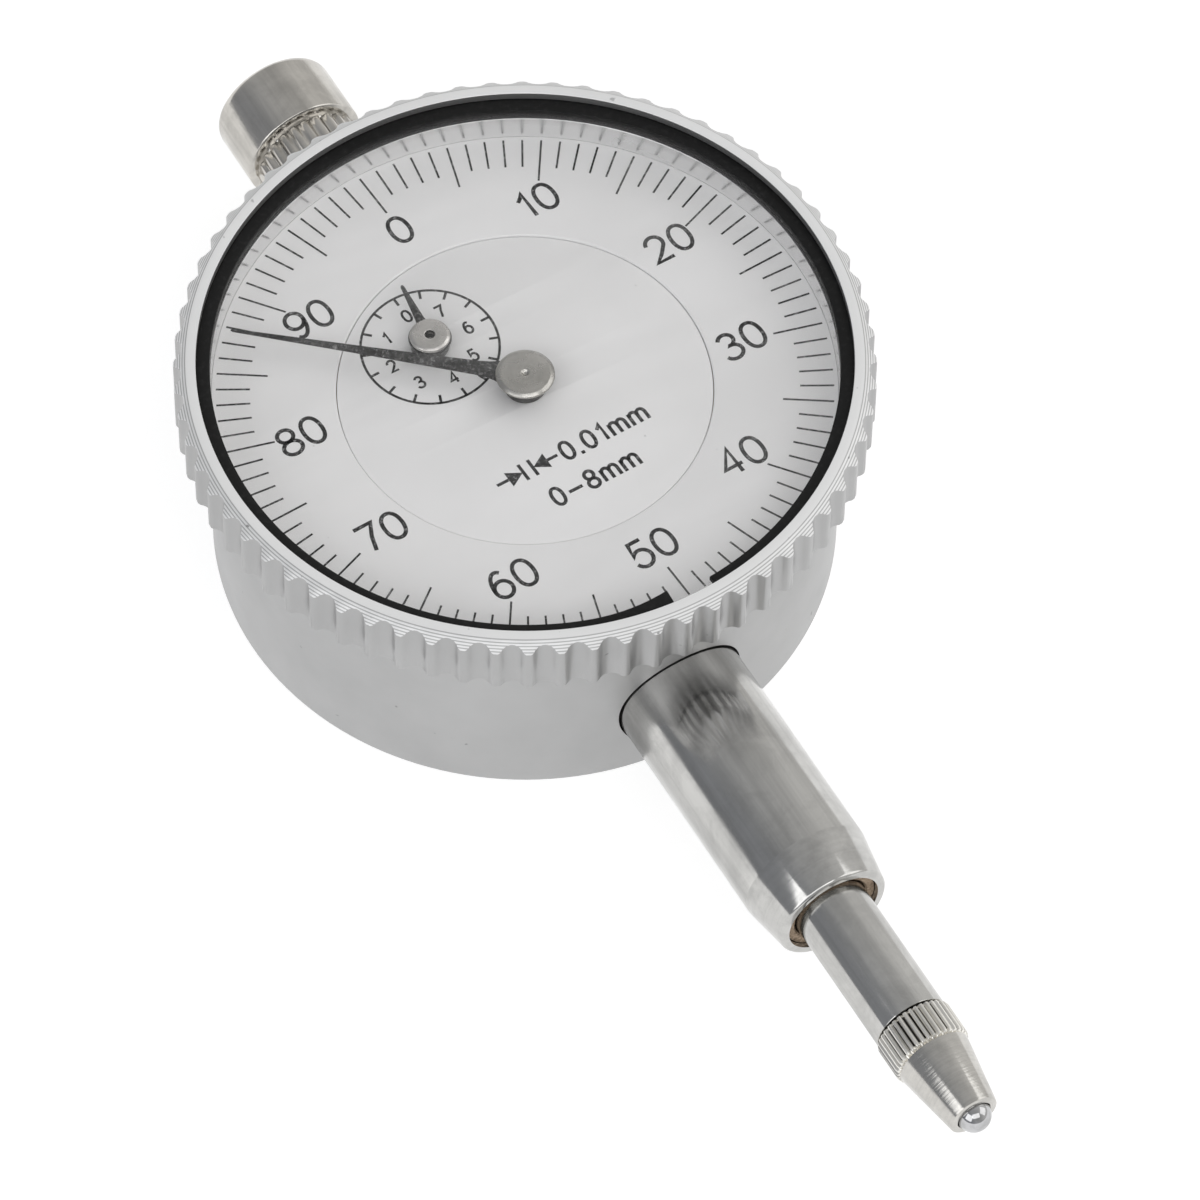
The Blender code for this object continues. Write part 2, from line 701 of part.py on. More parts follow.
def make_center_shaft():
    profile = [
        (0, DIAL_Z + CENTER_ARBOR_END),
        (ARBOR_R - 0.05, DIAL_Z + CENTER_ARBOR_END),
        (ARBOR_R, DIAL_Z + CENTER_ARBOR_END - 0.1),
        (ARBOR_R, BRIDGE[1] + 0.1),
        (PIVOT_R, BRIDGE[1] + 0.1),
        (PIVOT_R, BRIDGE[0] + 0.1),
        (0, BRIDGE[0] + 0.1),
    ]
    arbor = turned("center_arbor", profile, PIN_STEPS, STEEL, closed=False)
    teeth = gear_outline(PINION_TEETH, gear_module, pinion_phase())
    bore = circle(ARBOR_BORE_R, PIN_STEPS)
    pinion = flat("center_pinion", [teeth, bore], WHEEL_Z - 0.2, WHEEL_Z + 0.7, STEEL)
    return [arbor, pinion]


def make_takeup_shaft():
    x, y = takeup_centre
    profile = [
        (0, TOP_PLATE[1] - 0.1),
        (PIVOT_R, TOP_PLATE[1] - 0.1),
        (PIVOT_R, TOP_PLATE[0] - 0.1),
        (ARBOR_R, TOP_PLATE[0] - 0.1),
        (ARBOR_R, BASE_PLATE[1] + 0.1),
        (PIVOT_R, BASE_PLATE[1] + 0.1),
        (PIVOT_R, BASE_PLATE[0] + 0.1),
        (0, BASE_PLATE[0] + 0.1),
    ]
    arbor = turned("takeup_arbor", profile, PIN_STEPS, STEEL, (x, y, 0), closed=False)
    # The pinion's tooth nearest to the line of centres sets where the wheel's space lies.
    offset = (pinion_phase() - TAKEUP_ANGLE) % (360.0 / PINION_TEETH)
    space = TAKEUP_ANGLE + 180.0 - offset * PINION_TEETH / WHEEL_TEETH
    teeth = gear_outline(WHEEL_TEETH, gear_module, space + 180.0 / WHEEL_TEETH)
    bore = circle(ARBOR_BORE_R, PIN_STEPS)
    spokes = [circle(1.35, 8, place) for place in circle(3.2, 5)]
    wheel = flat("takeup_gear", [teeth, bore] + spokes, WHEEL_Z, WHEEL_Z + WHEEL_THICK, BRASS, (x, y))
    collet = flat("hairspring_collet", [circle(0.75, 16), bore], 6.4, 7.0, BRASS, (x, y))

    turns = 3
    per_turn = 10
    spiral = []
    for i in range(turns * per_turn + 1):
        angle = 2 * math.pi * i / per_turn
        radius = 0.9 + 1.2 * i / (turns * per_turn)
        spiral.append((x + radius * math.cos(angle), y + radius * math.sin(angle), 6.7))
    wire("hairspring", spiral, 0.07, SPRING_STEEL)
    stud_x = x + 2.5
    ends = (stud_x, y, BASE_PLATE[1] + CLEARANCE), (stud_x, y, POST_TOP)
    rod("hairspring_stud", 0.3, *ends, PIN_STEPS, BRASS)
    return [arbor, wheel, collet]


# ---------------------------------------------------------------- dial and pointers


def make_dials():
    ring = flat(
        "dial_ring",
        [circle(DIAL_R, 64), circle(DIAL_SPLIT_R + 0.05, 64)],
        DIAL_Z - DIAL_THICK,
        DIAL_Z,
        DIAL_WHITE,
    )
    holes = [circle(0.9, PIN_STEPS), circle(0.7, PIN_STEPS, counter_centre)]
    flat(
        "center_dial",
        [circle(DIAL_SPLIT_R - 0.05, 64)] + holes,
        DIAL_Z - DIAL_THICK - CENTER_DIAL_DROP,
        DIAL_Z - CENTER_DIAL_DROP,
        DIAL_WHITE,
    )
    flat(
        "center_dial_support",
        [circle(DIAL_SUPPORT_R, SMALL_STEPS), circle(DIAL_SUPPORT_BORE_R, SMALL_STEPS)],
        TOP_PLATE[1] + CLEARANCE,
        DIAL_Z - DIAL_THICK - CENTER_DIAL_DROP - CLEARANCE,
        BRASS,
    )
    return [ring]


def pointer_blade(name, eye_r, eye_bore_r, stages, blade, bearing, centre):
    """A flat pointer: an eye around the hub and a tapering blade through (distance, half width) stages."""
    right = [(half, distance) for distance, half in stages]
    left = [(-half, distance) for distance, half in reversed(stages)]
    start = math.degrees(math.asin(stages[0][1] / eye_r))
    outline = right + left + arc(eye_r, -start, start - 360, 13)[1:-1]
    turn = math.radians(-bearing)
    loops = []
    for loop in (outline, circle(eye_bore_r, PIN_STEPS)):
        loops.append(
            [
                (px * math.cos(turn) - py * math.sin(turn), px * math.sin(turn) + py * math.cos(turn))
                for px, py in loop
            ]
        )
    return flat(name, loops, DIAL_Z + blade[0], DIAL_Z + blade[1], POINTER, centre)


def make_main_pointer():
    stages = [(1.5, 0.62), (2.6, 0.52), (9.0, 0.3), (MAIN_BLADE_TIP - 0.1, 0.09), (MAIN_BLADE_TIP, 0.03)]
    blade = pointer_blade("main_pointer", 1.62, 1.3, stages, MAIN_BLADE, MAIN_BLADE_BEARING, (0, 0))
    top = DIAL_Z + MAIN_HUB_TOP
    low = DIAL_Z + MAIN_BLADE[1] + 0.03
    hub = [
        (0, top - 0.12),
        (0.22, top),
        (MAIN_HUB_R - 0.15, top),
        (MAIN_HUB_R, top - 0.12),
        (MAIN_HUB_R, low + 0.04),
        (MAIN_HUB_R - 0.05, low),
        (1.25, low),
        (1.25, DIAL_Z + 0.15),
        (ARBOR_BORE_R, DIAL_Z + 0.15),
        (ARBOR_BORE_R, DIAL_Z + MAIN_HUB_BORE_END),
        (0, DIAL_Z + MAIN_HUB_BORE_END),
    ]
    return [blade, turned("main_pointer_hub", hub, SMALL_STEPS, STEEL, closed=False)]


def make_counter_pointer():
    x, y = counter_centre
    stages = [(1.17, 0.28), (COUNTER_BLADE_TIP - 0.1, 0.1), (COUNTER_BLADE_TIP, 0.04)]
    bearing = COUNTER_BLADE_BEARING
    eye_bore_r = COUNTER_DRUM_R + 0.03
    blade = pointer_blade("counter_pointer", 1.28, eye_bore_r, stages, COUNTER_BLADE, bearing, (x, y))
    top = DIAL_Z + COUNTER_HUB_TOP
    low = DIAL_Z + COUNTER_BLADE[1] + 0.03
    hub = [
        (0.3, top),
        (COUNTER_HUB_R - 0.17, top),
        (COUNTER_HUB_R, top - 0.14),
        (COUNTER_HUB_R, low + 0.03),
        (COUNTER_HUB_R - 0.04, low),
        (COUNTER_DRUM_R, low),
        (COUNTER_DRUM_R, DIAL_Z),
        (ARBOR_BORE_R, DIAL_Z),
        (ARBOR_BORE_R, DIAL_Z + 0.75),
        (0.3, DIAL_Z + 0.75),
    ]
    return [blade, turned("counter_pointer_hub", hub, SMALL_STEPS, STEEL, (x, y, 0))]


# ---------------------------------------------------------------- bezel


def make_bezel():
    groove_high = RETAINING_GROOVE[1] - DIAL_Z
    groove_low = RETAINING_GROOVE[0] - DIAL_Z
    profile = [
        (LIP_R, LIP_TOP),
        (BEZEL_FLAT_R, LIP_TOP),
        (BEZEL_CREST_R, BEZEL_CREST_TOP),
        (BEZEL_CREST_R, BEZEL_BOTTOM),
        (SKIRT_R, BEZEL_BOTTOM),
        (SKIRT_R, groove_high),
        (SKIRT_GROOVE_R, groove_high),
        (SKIRT_GROOVE_R, groove_low),
        (SKIRT_R, groove_low),
        (SKIRT_R, SKIRT_BOTTOM),
        (SKIRT_INNER_R, SKIRT_BOTTOM),
        (SKIRT_INNER_R, DIAL_SHELF),
        (BEZEL_WALL_R, DIAL_SHELF),
        (BEZEL_WALL_R, CRYSTAL_SEAT),
        (RING_GROOVE_R, CRYSTAL_SEAT),
        (RING_GROOVE_R, RING_GROOVE_TOP),
        (LIP_R, RING_GROOVE_TOP),
    ]
    lifted = [(r, h + DIAL_Z) for r, h in profile]
    bezel = turned("bezel", lifted, SCALLOPS, ALUMINIUM)
    builder = bmesh.new()
    middle_r = BEZEL_CREST_R - SCALLOP_DEPTH + SCALLOP_R
    low = (DIAL_Z + BEZEL_BOTTOM - 0.5) * MM
    high = (DIAL_Z + LIP_TOP + 0.5) * MM
    for i in range(SCALLOPS):
        bearing = 2 * math.pi * (i + 0.5) / SCALLOPS
        place = Matrix.Translation(
            (middle_r * MM * math.cos(bearing), middle_r * MM * math.sin(bearing), (low + high) / 2)
        )
        # The cutter is narrower than the spacing at its own circle, so the cutters stay apart.
        bmesh.ops.create_cone(
            builder,
            cap_ends=True,
            segments=10,
            radius1=SCALLOP_R * MM,
            radius2=SCALLOP_R * MM,
            depth=high - low,
            matrix=place @ Matrix.Rotation(bearing, 4, "Z"),
        )
    mesh = bpy.data.meshes.new("scallop_cutters")
    builder.to_mesh(mesh)
    builder.free()
    cut(bezel, add_object("scallop_cutters", mesh))
    return bezel


def make_crystal():
    low, high = (DIAL_Z + height for height in CRYSTAL_HEIGHTS)
    profile = [(0, high), (CRYSTAL_R, high), (CRYSTAL_R, low), (0, low)]
    return turned("crystal", profile, LARGE_STEPS, CRYSTAL, closed=False)


def make_snap_ring():
    """A flat split ring. The end past the gap has sprung a little inwards."""
    first = SNAP_RING_GAP[1]
    last = SNAP_RING_GAP[0] + 360.0
    count = 44
    outer = []
    inner = []
    for i in range(count):
        bearing = first + (last - first) * i / (count - 1)
        turn = math.radians(bearing)
        sprung = SNAP_RING_SPRUNG * max(0.0, 1.0 - (bearing - first) / SNAP_RING_SPRUNG_ARC) ** 2
        for side, radius in ((outer, SNAP_RING_OUTER_R - sprung), (inner, SNAP_RING_R - sprung)):
            side.append((radius * math.sin(turn), radius * math.cos(turn)))
    low, high = (DIAL_Z + height for height in SNAP_RING_HEIGHTS)
    return flat("crystal_snap_ring", [outer + inner[::-1]], low, high, BLACKED)


def make_retaining_ring():
    """The split wire between the case's bore and the bezel's skirt."""
    height = sum(RETAINING_GROOVE) / 2
    points = [(x, y, height) for x, y in arc(RETAINING_WIRE_CIRCLE_R, 8, 352, 36)]
    wire("bezel_retaining_ring", points, RETAINING_WIRE_R, SPRING_STEEL)


# ---------------------------------------------------------------- assembly

make_case()
make_cover()
make_stem()
make_top_end()
make_frame_plates()
make_retaining_ring()
make_return_spring()
spindle_group = make_spindle() + make_contact()
counter_group = make_counter_shaft() + make_counter_pointer()
center_group = make_center_shaft() + make_main_pointer()
takeup_group = make_takeup_shaft()
bezel_group = [make_bezel(), make_crystal(), make_snap_ring()] + make_dials()

on_axis("spindle_axis", (0, 0, SPINDLE_Z), spindle_group)
on_axis("counter_axis", (*counter_centre, 0), counter_group)
on_axis("center_axis", (0, 0, 0), center_group)
on_axis("takeup_axis", (*takeup_centre, 0), takeup_group)
on_axis("bezel_axis", (0, 0, DIAL_Z), bezel_group)
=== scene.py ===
"""The looks of a plunger dial indicator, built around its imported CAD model.

Lengths in this file are in millimetres unless a comment says otherwise; the mesh helpers turn
them into metres. Bearings are degrees clockwise from +Y, seen from above the dial.
"""

import math

import bmesh
import bpy
from mathutils import Matrix, Quaternion, Vector


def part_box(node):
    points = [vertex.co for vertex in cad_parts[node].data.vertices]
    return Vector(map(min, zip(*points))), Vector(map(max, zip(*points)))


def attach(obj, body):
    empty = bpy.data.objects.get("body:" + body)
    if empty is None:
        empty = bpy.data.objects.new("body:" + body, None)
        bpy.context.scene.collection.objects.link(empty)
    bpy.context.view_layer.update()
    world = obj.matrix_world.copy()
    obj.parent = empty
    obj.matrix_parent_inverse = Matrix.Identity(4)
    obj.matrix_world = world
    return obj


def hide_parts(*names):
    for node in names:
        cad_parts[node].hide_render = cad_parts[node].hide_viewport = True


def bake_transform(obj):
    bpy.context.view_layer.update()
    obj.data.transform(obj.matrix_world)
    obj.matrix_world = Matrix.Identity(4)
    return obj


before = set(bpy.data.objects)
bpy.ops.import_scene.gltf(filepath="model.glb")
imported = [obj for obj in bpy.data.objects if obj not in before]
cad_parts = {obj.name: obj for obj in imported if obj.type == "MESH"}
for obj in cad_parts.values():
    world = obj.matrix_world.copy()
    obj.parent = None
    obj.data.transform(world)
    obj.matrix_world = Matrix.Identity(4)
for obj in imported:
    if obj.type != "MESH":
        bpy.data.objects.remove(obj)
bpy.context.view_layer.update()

MM = 0.001


def span(node):
    """A CAD node's box in millimetres."""
    low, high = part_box(node)
    return low / MM, high / MM


def radius_of(node):
    low, high = span(node)
    return (high.x - low.x) / 2


def middle_of(node):
    low, high = span(node)
    return (low + high) / 2


# Places that come from the CAD model
DIAL_Z = span("dial_ring")[1].z
DISC_Z = span("center_dial")[1].z
SPINDLE_Z = middle_of("spindle_rod").z
COUNTER = middle_of("counter_arbor").to_2d()
CASE_R = radius_of("case_body")
CASE_LOW = span("case_body")[0].z
CASE_HIGH = span("case_body")[1].z
COVER_R = radius_of("back_cover")
COVER_HIGH = span("back_cover")[1].z
STEM_R = radius_of("stem")
STEM_LOW, STEM_HIGH = span("stem")[0].y, span("stem")[1].y
BUSH_R = radius_of("stem_bushing")
SPINDLE_R = radius_of("spindle_rod")
SPINDLE_LOW, SPINDLE_HIGH = span("spindle_rod")[0].y, span("spindle_rod")[1].y
CAP_R = radius_of("dust_cap")
CAP_LOW, CAP_HIGH = span("dust_cap")[0].y, span("dust_cap")[1].y
BEZEL_LOW, BEZEL_HIGH = span("bezel")[0].z, span("bezel")[1].z
CREST_R = radius_of("bezel")
CRYSTAL_R = radius_of("crystal")
DISC_R = radius_of("center_dial")
COLLAR_R = radius_of("contact_point")
SPINDLE_AXIS = (0, 0, SPINDLE_Z)
COUNTER_AXIS = (*COUNTER, 0)


# Materials


def new_material(name, colour, roughness, metallic):
    made = bpy.data.materials.new(name)
    made.use_nodes = True
    shader = made.node_tree.nodes["Principled BSDF"]
    shader.inputs["Base Color"].default_value = (*colour, 1.0)
    shader.inputs["Roughness"].default_value = roughness
    shader.inputs["Metallic"].default_value = metallic
    made.diffuse_color = (*colour, 1.0)
    return made


def add(mat, kind, **settings):
    made = mat.node_tree.nodes.new(kind)
    for key, value in settings.items():
        setattr(made, key, value)
    return made


def wire_up(mat, source, target):
    mat.node_tree.links.new(source, target)


def shader_of(mat):
    return mat.node_tree.nodes["Principled BSDF"]


def place(mat, scale=(1, 1, 1)):
    """Object coordinates in metres, times a scale for each axis."""
    coordinates = add(mat, "ShaderNodeTexCoord")
    mapping = add(mat, "ShaderNodeMapping")
    mapping.inputs["Scale"].default_value = scale
    wire_up(mat, coordinates.outputs["Object"], mapping.inputs["Vector"])
    return mapping.outputs["Vector"]


def from_axis(mat, axis, centre):
    """(distance from an axis, place along it) in metres, for marks left by a lathe."""
    coordinates = add(mat, "ShaderNodeTexCoord")
    moved = add(mat, "ShaderNodeVectorMath", operation="SUBTRACT")
    moved.inputs[1].default_value = [c * MM for c in centre]
    wire_up(mat, coordinates.outputs["Object"], moved.inputs[0])
    across = add(mat, "ShaderNodeVectorMath", operation="MULTIPLY")
    across.inputs[1].default_value = (1, 1, 0) if axis == "Z" else (1, 0, 1)
    wire_up(mat, moved.outputs["Vector"], across.inputs[0])
    distance = add(mat, "ShaderNodeVectorMath", operation="LENGTH")
    wire_up(mat, across.outputs["Vector"], distance.inputs[0])
    apart = add(mat, "ShaderNodeSeparateXYZ")
    wire_up(mat, moved.outputs["Vector"], apart.inputs["Vector"])
    joined = add(mat, "ShaderNodeCombineXYZ")
    wire_up(mat, distance.outputs["Value"], joined.inputs["X"])
    wire_up(mat, apart.outputs[axis], joined.inputs["Y"])
    return joined.outputs["Vector"]


def noise(mat, vector, scale, detail=2.0, rough=0.5, distortion=0.0):
    made = add(mat, "ShaderNodeTexNoise")
    made.inputs["Scale"].default_value = scale
    made.inputs["Detail"].default_value = detail
    made.inputs["Roughness"].default_value = rough
    made.inputs["Distortion"].default_value = distortion
    wire_up(mat, vector, made.inputs["Vector"])
    return made.outputs["Fac"]


def ramp(mat, value, stops):
    """A grey or colour ramp: (place, grey or colour) stops."""
    made = add(mat, "ShaderNodeValToRGB")
    elements = made.color_ramp.elements
    while len(elements) < len(stops):
        elements.new(0.5)
    for element, (where, tone) in zip(elements, stops):
        element.position = where
        element.color = (*tone, 1.0) if isinstance(tone, tuple) else (tone, tone, tone, 1.0)
    wire_up(mat, value, made.inputs["Fac"])
    return made.outputs["Color"]


def mixed(mat, kind, first, second, factor):
    """Two colours mixed by a blend kind; each input is a socket or a plain value."""
    made = add(mat, "ShaderNodeMix", data_type="RGBA", blend_type=kind)
    for key, value in (("Factor", factor), ("A", first), ("B", second)):
        socket = made.inputs[key]
        if isinstance(value, bpy.types.NodeSocket):
            wire_up(mat, value, socket)
        elif socket.type == "RGBA":
            socket.default_value = (*value, 1.0)
        else:
            socket.default_value = value
    return made.outputs["Result"]


def bumped(mat, height, distance_um, strength=1.0, before=None):
    """Adds a bump whose full height is given in micrometres."""
    made = add(mat, "ShaderNodeBump")
    made.inputs["Strength"].default_value = strength
    made.inputs["Distance"].default_value = distance_um * 1e-6
    wire_up(mat, height, made.inputs["Height"])
    if before is not None:
        wire_up(mat, before, made.inputs["Normal"])
    wire_up(mat, made.outputs["Normal"], shader_of(mat).inputs["Normal"])
    return made.outputs["Normal"]


def set_colour(mat, socket):
    wire_up(mat, socket, shader_of(mat).inputs["Base Color"])


def set_roughness(mat, socket):
    wire_up(mat, socket, shader_of(mat).inputs["Roughness"])


def satin_aluminium(name, tone, roughness, metallic=0.8):
    """Fine blasted and anodised aluminium with faint cloudy patches and a few dark specks."""
    mat = new_material(name, (tone, tone, tone), roughness, metallic)
    where = place(mat)
    cloud = noise(mat, where, 130, 4, 0.6)
    base = ramp(mat, cloud, [(0.3, tone * 0.94), (0.7, tone)])
    specks = noise(mat, where, 1500, 1)
    marks = ramp(mat, specks, [(0.0, 1.0), (0.77, 1.0), (0.82, 0.45)])
    set_colour(mat, mixed(mat, "MULTIPLY", base, marks, 0.7))
    set_roughness(mat, ramp(mat, cloud, [(0.3, roughness + 0.06), (0.7, roughness - 0.04)]))
    bumped(mat, noise(mat, where, 9000, 2), 1.2)
    return mat


def turned_aluminium(name, tone, roughness, feed_mm, depth_um, metallic=0.8):
    """Satin aluminium with the even circular lines of a lathe tool and small nicks."""
    mat = new_material(name, (tone, tone, tone), roughness, metallic)
    made = add(mat, "ShaderNodeTexWave", wave_type="BANDS", bands_direction="X")
    made.inputs["Scale"].default_value = math.pi / 10 / (feed_mm * MM)
    made.inputs["Distortion"].default_value = 1.2
    made.inputs["Detail"].default_value = 2.0
    made.inputs["Detail Scale"].default_value = 0.6
    wire_up(mat, from_axis(mat, "Z", (0, 0, 0)), made.inputs["Vector"])
    lines = made.outputs["Fac"]
    where = place(mat)
    cloud = noise(mat, where, 260, 4, 0.6)
    tint = ramp(mat, lines, [(0.0, tone * 0.5), (0.25, tone * 0.7), (0.5, tone)])
    nicks = ramp(mat, noise(mat, where, 1900, 2), [(0.0, 1.0), (0.72, 1.0), (0.76, 0.3)])
    set_colour(mat, mixed(mat, "MULTIPLY", tint, nicks, 0.8))
    set_roughness(mat, ramp(mat, cloud, [(0.3, roughness + 0.07), (0.7, roughness - 0.05)]))
    fine = bumped(mat, lines, depth_um)
    bumped(mat, noise(mat, where, 7000, 2), 1.0, before=fine)
    return mat


def ground_steel(name, colour, roughness, streak=0.35, scratch_um=1.0):
    """Ground steel: streaks along its length, faint blotches and small bright scratches."""
    mat = new_material(name, colour, roughness, 1.0)
    along = place(mat, (1.0, 0.035, 1.0))
    streaks = noise(mat, along, 900, 4, 0.62)
    blotch = noise(mat, place(mat), 330, 5, 0.68, 0.5)
    pale = tuple(min(1.0, c * 1.12) for c in colour)
    dark = tuple(c * 0.84 for c in colour)
    shade = ramp(mat, streaks, [(0.32, dark), (0.62, pale)])
    worn = ramp(mat, blotch, [(0.36, 0.74), (0.58, 1.0)])
    set_colour(mat, mixed(mat, "MULTIPLY", shade, worn, 0.6))
    set_roughness(mat, ramp(mat, blotch, [(0.3, roughness + 0.1), (0.62, roughness - 0.04)]))
    scratches = noise(mat, place(mat, (1.0, 0.25, 1.0)), 3800, 3, 0.7)
    first = bumped(mat, streaks, 3.0, streak)
    bumped(mat, scratches, scratch_um, 0.6, before=first)
    return mat


def ringed_steel(name, colour, roughness, axis, centre, scale, depth_um):
    """Turned and plated metal with fine rings round its axis."""
    mat = new_material(name, colour, roughness, 1.0)
    rings = noise(mat, from_axis(mat, axis, centre), scale, 3, 0.7)
    blotch = noise(mat, place(mat), 700, 4, 0.65)
    dark = tuple(c * 0.82 for c in colour)
    stained = ramp(mat, blotch, [(0.35, dark), (0.6, colour)])
    lined = ramp(mat, rings, [(0.3, 0.88), (0.6, 1.0)])
    set_colour(mat, mixed(mat, "MULTIPLY", stained, lined, 0.7))
    set_roughness(mat, ramp(mat, blotch, [(0.3, roughness + 0.08), (0.65, roughness - 0.04)]))
    bumped(mat, rings, depth_um)
    return mat


def grained(name, colour, roughness, metallic, grain, tones, gloss, height_um=0, stretch=(1, 1, 1)):
    """A material whose colour, gloss and relief all follow one noise."""
    mat = new_material(name, colour, roughness, metallic)
    fac = noise(mat, place(mat, stretch), *grain)
    set_colour(mat, ramp(mat, fac, tones))
    set_roughness(mat, ramp(mat, fac, gloss))
    if height_um:
        bumped(mat, fac, height_um)
    return mat


def make_black_ring():
    """Black enamelled spring steel: a low gloss with dust and rubbed spots."""
    mat = new_material("black_enamel", (0.012, 0.012, 0.012), 0.42, 0.0)
    shader_of(mat).inputs["Specular IOR Level"].default_value = 0.2
    where = place(mat)
    dust = noise(mat, where, 2600, 3, 0.7)
    set_colour(mat, ramp(mat, dust, [(0.5, 0.008), (0.72, 0.018), (0.8, 0.06)]))
    set_roughness(mat, ramp(mat, dust, [(0.3, 0.36), (0.7, 0.52)]))
    bumped(mat, noise(mat, where, 5200, 3, 0.6), 5.0)
    return mat


def make_dial_white(name, tone):
    """Matt white enamel with a very slight mottle and a few specks."""
    mat = new_material(name, (tone, tone, tone), 0.5, 0.0)
    where = place(mat)
    cloud = noise(mat, where, 170, 5, 0.6)
    speck = noise(mat, where, 2600, 1)
    base = ramp(mat, cloud, [(0.3, tone * 0.965), (0.7, tone)])
    specks = ramp(mat, speck, [(0.0, 1.0), (0.8, 1.0), (0.84, 0.75)])
    set_colour(mat, mixed(mat, "MULTIPLY", base, specks, 0.8))
    set_roughness(mat, ramp(mat, cloud, [(0.3, 0.56), (0.7, 0.46)]))
    bumped(mat, noise(mat, where, 5000, 3), 1.0)
    return mat


def make_crystal():
    """A clear acrylic window, with a soft reflection that grows at a low angle."""
    mat = bpy.data.materials.new("clear_crystal")
    mat.use_nodes = True
    nodes = mat.node_tree.nodes
    nodes.clear()
    clear = add(mat, "ShaderNodeBsdfTransparent")
    clear.inputs["Color"].default_value = (0.985, 0.983, 0.983, 1.0)
    gloss = add(mat, "ShaderNodeBsdfGlossy")
    gloss.inputs["Color"].default_value = (1.0, 1.0, 1.0, 1.0)
    haze = noise(mat, place(mat), 90, 5, 0.6, 0.6)
    wire_up(mat, ramp(mat, haze, [(0.35, 0.03), (0.7, 0.12)]), gloss.inputs["Roughness"])
    edge = add(mat, "ShaderNodeLayerWeight")
    steep = add(mat, "ShaderNodeMath", operation="POWER")
    steep.inputs[1].default_value = 5.0
    wire_up(mat, edge.outputs["Facing"], steep.inputs[0])
    share = add(mat, "ShaderNodeMath", operation="MULTIPLY_ADD")
    share.inputs[1].default_value = 0.8
    wire_up(mat, steep.outputs["Value"], share.inputs[0])
    streaks = noise(mat, place(mat, (0.5, 2.2, 1.0)), 75, 2, 0.5, 1.5)
    wire_up(mat, ramp(mat, streaks, [(0.42, 0.012), (0.62, 0.06)]), share.inputs[2])
    both = add(mat, "ShaderNodeMixShader")
    wire_up(mat, share.outputs["Value"], both.inputs["Fac"])
    wire_up(mat, clear.outputs["BSDF"], both.inputs[1])
    wire_up(mat, gloss.outputs["BSDF"], both.inputs[2])
    output = add(mat, "ShaderNodeOutputMaterial")
    wire_up(mat, both.outputs["Shader"], output.inputs["Surface"])
    return mat


CASE_SATIN = satin_aluminium("case_satin", 0.45, 0.44)
WALL_SHEEN = satin_aluminium("bezel_wall", 0.88, 0.22)
# The bezel's side faces: a darker copy of its satin aluminium, as painted shade
RIM_SATIN_SHADED = satin_aluminium("rim_satin_painted_shade", 0.42, 0.34)
LIP_SATIN = satin_aluminium("lip_satin", 0.93, 0.5, 0.35)
BEZEL_SATIN = turned_aluminium("bezel_satin", 0.79, 0.48, 0.143, 3.0, 0.35)
COVER_TURNED = turned_aluminium("cover_turned", 0.56, 0.34, 0.24, 1.5)
STEEL = ground_steel("ground_steel", (0.53, 0.525, 0.51), 0.14)
SPINDLE_STEEL = ground_steel("spindle_steel", (0.53, 0.525, 0.51), 0.12, 0.3)
STEM_TURNED = ringed_steel("stem_taper_steel", (0.56, 0.555, 0.54), 0.12, "Y", SPINDLE_AXIS, 4200, 2.0)
CAP_NICKEL = ground_steel("cap_nickel", (0.58, 0.56, 0.525), 0.16, 0.45, 9.0)
POINT_NICKEL = ringed_steel("point_nickel", (0.60, 0.585, 0.555), 0.14, "Y", SPINDLE_AXIS, 8000, 9.0)
KNURL_NICKEL = ground_steel("knurl_nickel", (0.80, 0.78, 0.735), 0.3, 0.6, 3.0)
HUB_STEEL = ringed_steel("hub_steel", (0.55, 0.54, 0.51), 0.27, "Z", (0, 0, 0), 6000, 1.2)
SMALL_HUB_STEEL = ringed_steel("small_hub_steel", (0.68, 0.665, 0.64), 0.27, "Z", COUNTER_AXIS, 6000, 1.2)
# Dark steel for the counter arbor and the hub drums, and painted shade in the bottoms of the knurl's
# grooves
DARK_STEEL_AND_SHADE = ground_steel("dark_steel_and_painted_shade", (0.10, 0.098, 0.095), 0.35)
# Sintered bronze: brown, porous and dull
BRONZE_TONES = [(0.3, (0.13, 0.09, 0.06)), (0.5, (0.30, 0.22, 0.15)), (0.75, (0.48, 0.37, 0.27))]
BRONZE_GLOSS = [(0.3, 0.65), (0.7, 0.42)]
BRONZE = grained(
    "sintered_bronze", (0.30, 0.22, 0.16), 0.5, 0.7, (6500, 3, 0.7), BRONZE_TONES, BRONZE_GLOSS, 12.0
)
BRASS_TONES = [(0.3, (0.58, 0.41, 0.18)), (0.65, (0.76, 0.57, 0.28))]
BRASS_GLOSS = [(0.3, 0.42), (0.7, 0.28)]
BRASS = grained(
    "brass", (0.72, 0.53, 0.25), 0.32, 1.0, (2200, 3, 0.6), BRASS_TONES, BRASS_GLOSS, 2.0, (1, 0.08, 1)
)
SPRING_TONES = [(0.35, (0.22, 0.22, 0.23)), (0.65, (0.36, 0.35, 0.34))]
SPRING_GLOSS = [(0.3, 0.45), (0.7, 0.3)]
SPRING_STEEL = grained(
    "spring_steel", (0.30, 0.29, 0.28), 0.35, 1.0, (3000, 3, 0.6), SPRING_TONES, SPRING_GLOSS, 1.5
)
BLACK_RING = make_black_ring()
RING_WHITE = make_dial_white("dial_ring_white", 0.93)
DISC_WHITE = make_dial_white("dial_disc_white", 0.94)
# Printing ink, with the pale flecks of a worn screen print
INK_TONES = [(0.46, 0.028), (0.56, 0.0504), (0.65, 0.28)]
INK_GLOSS = [(0.3, 0.5), (0.7, 0.65)]
INK = grained("dial_ink", (0.028, 0.028, 0.028), 0.6, 0.0, (5000, 3, 0.7), INK_TONES, INK_GLOSS, 3.0)
shader_of(INK).inputs["Specular IOR Level"].default_value = 0.15
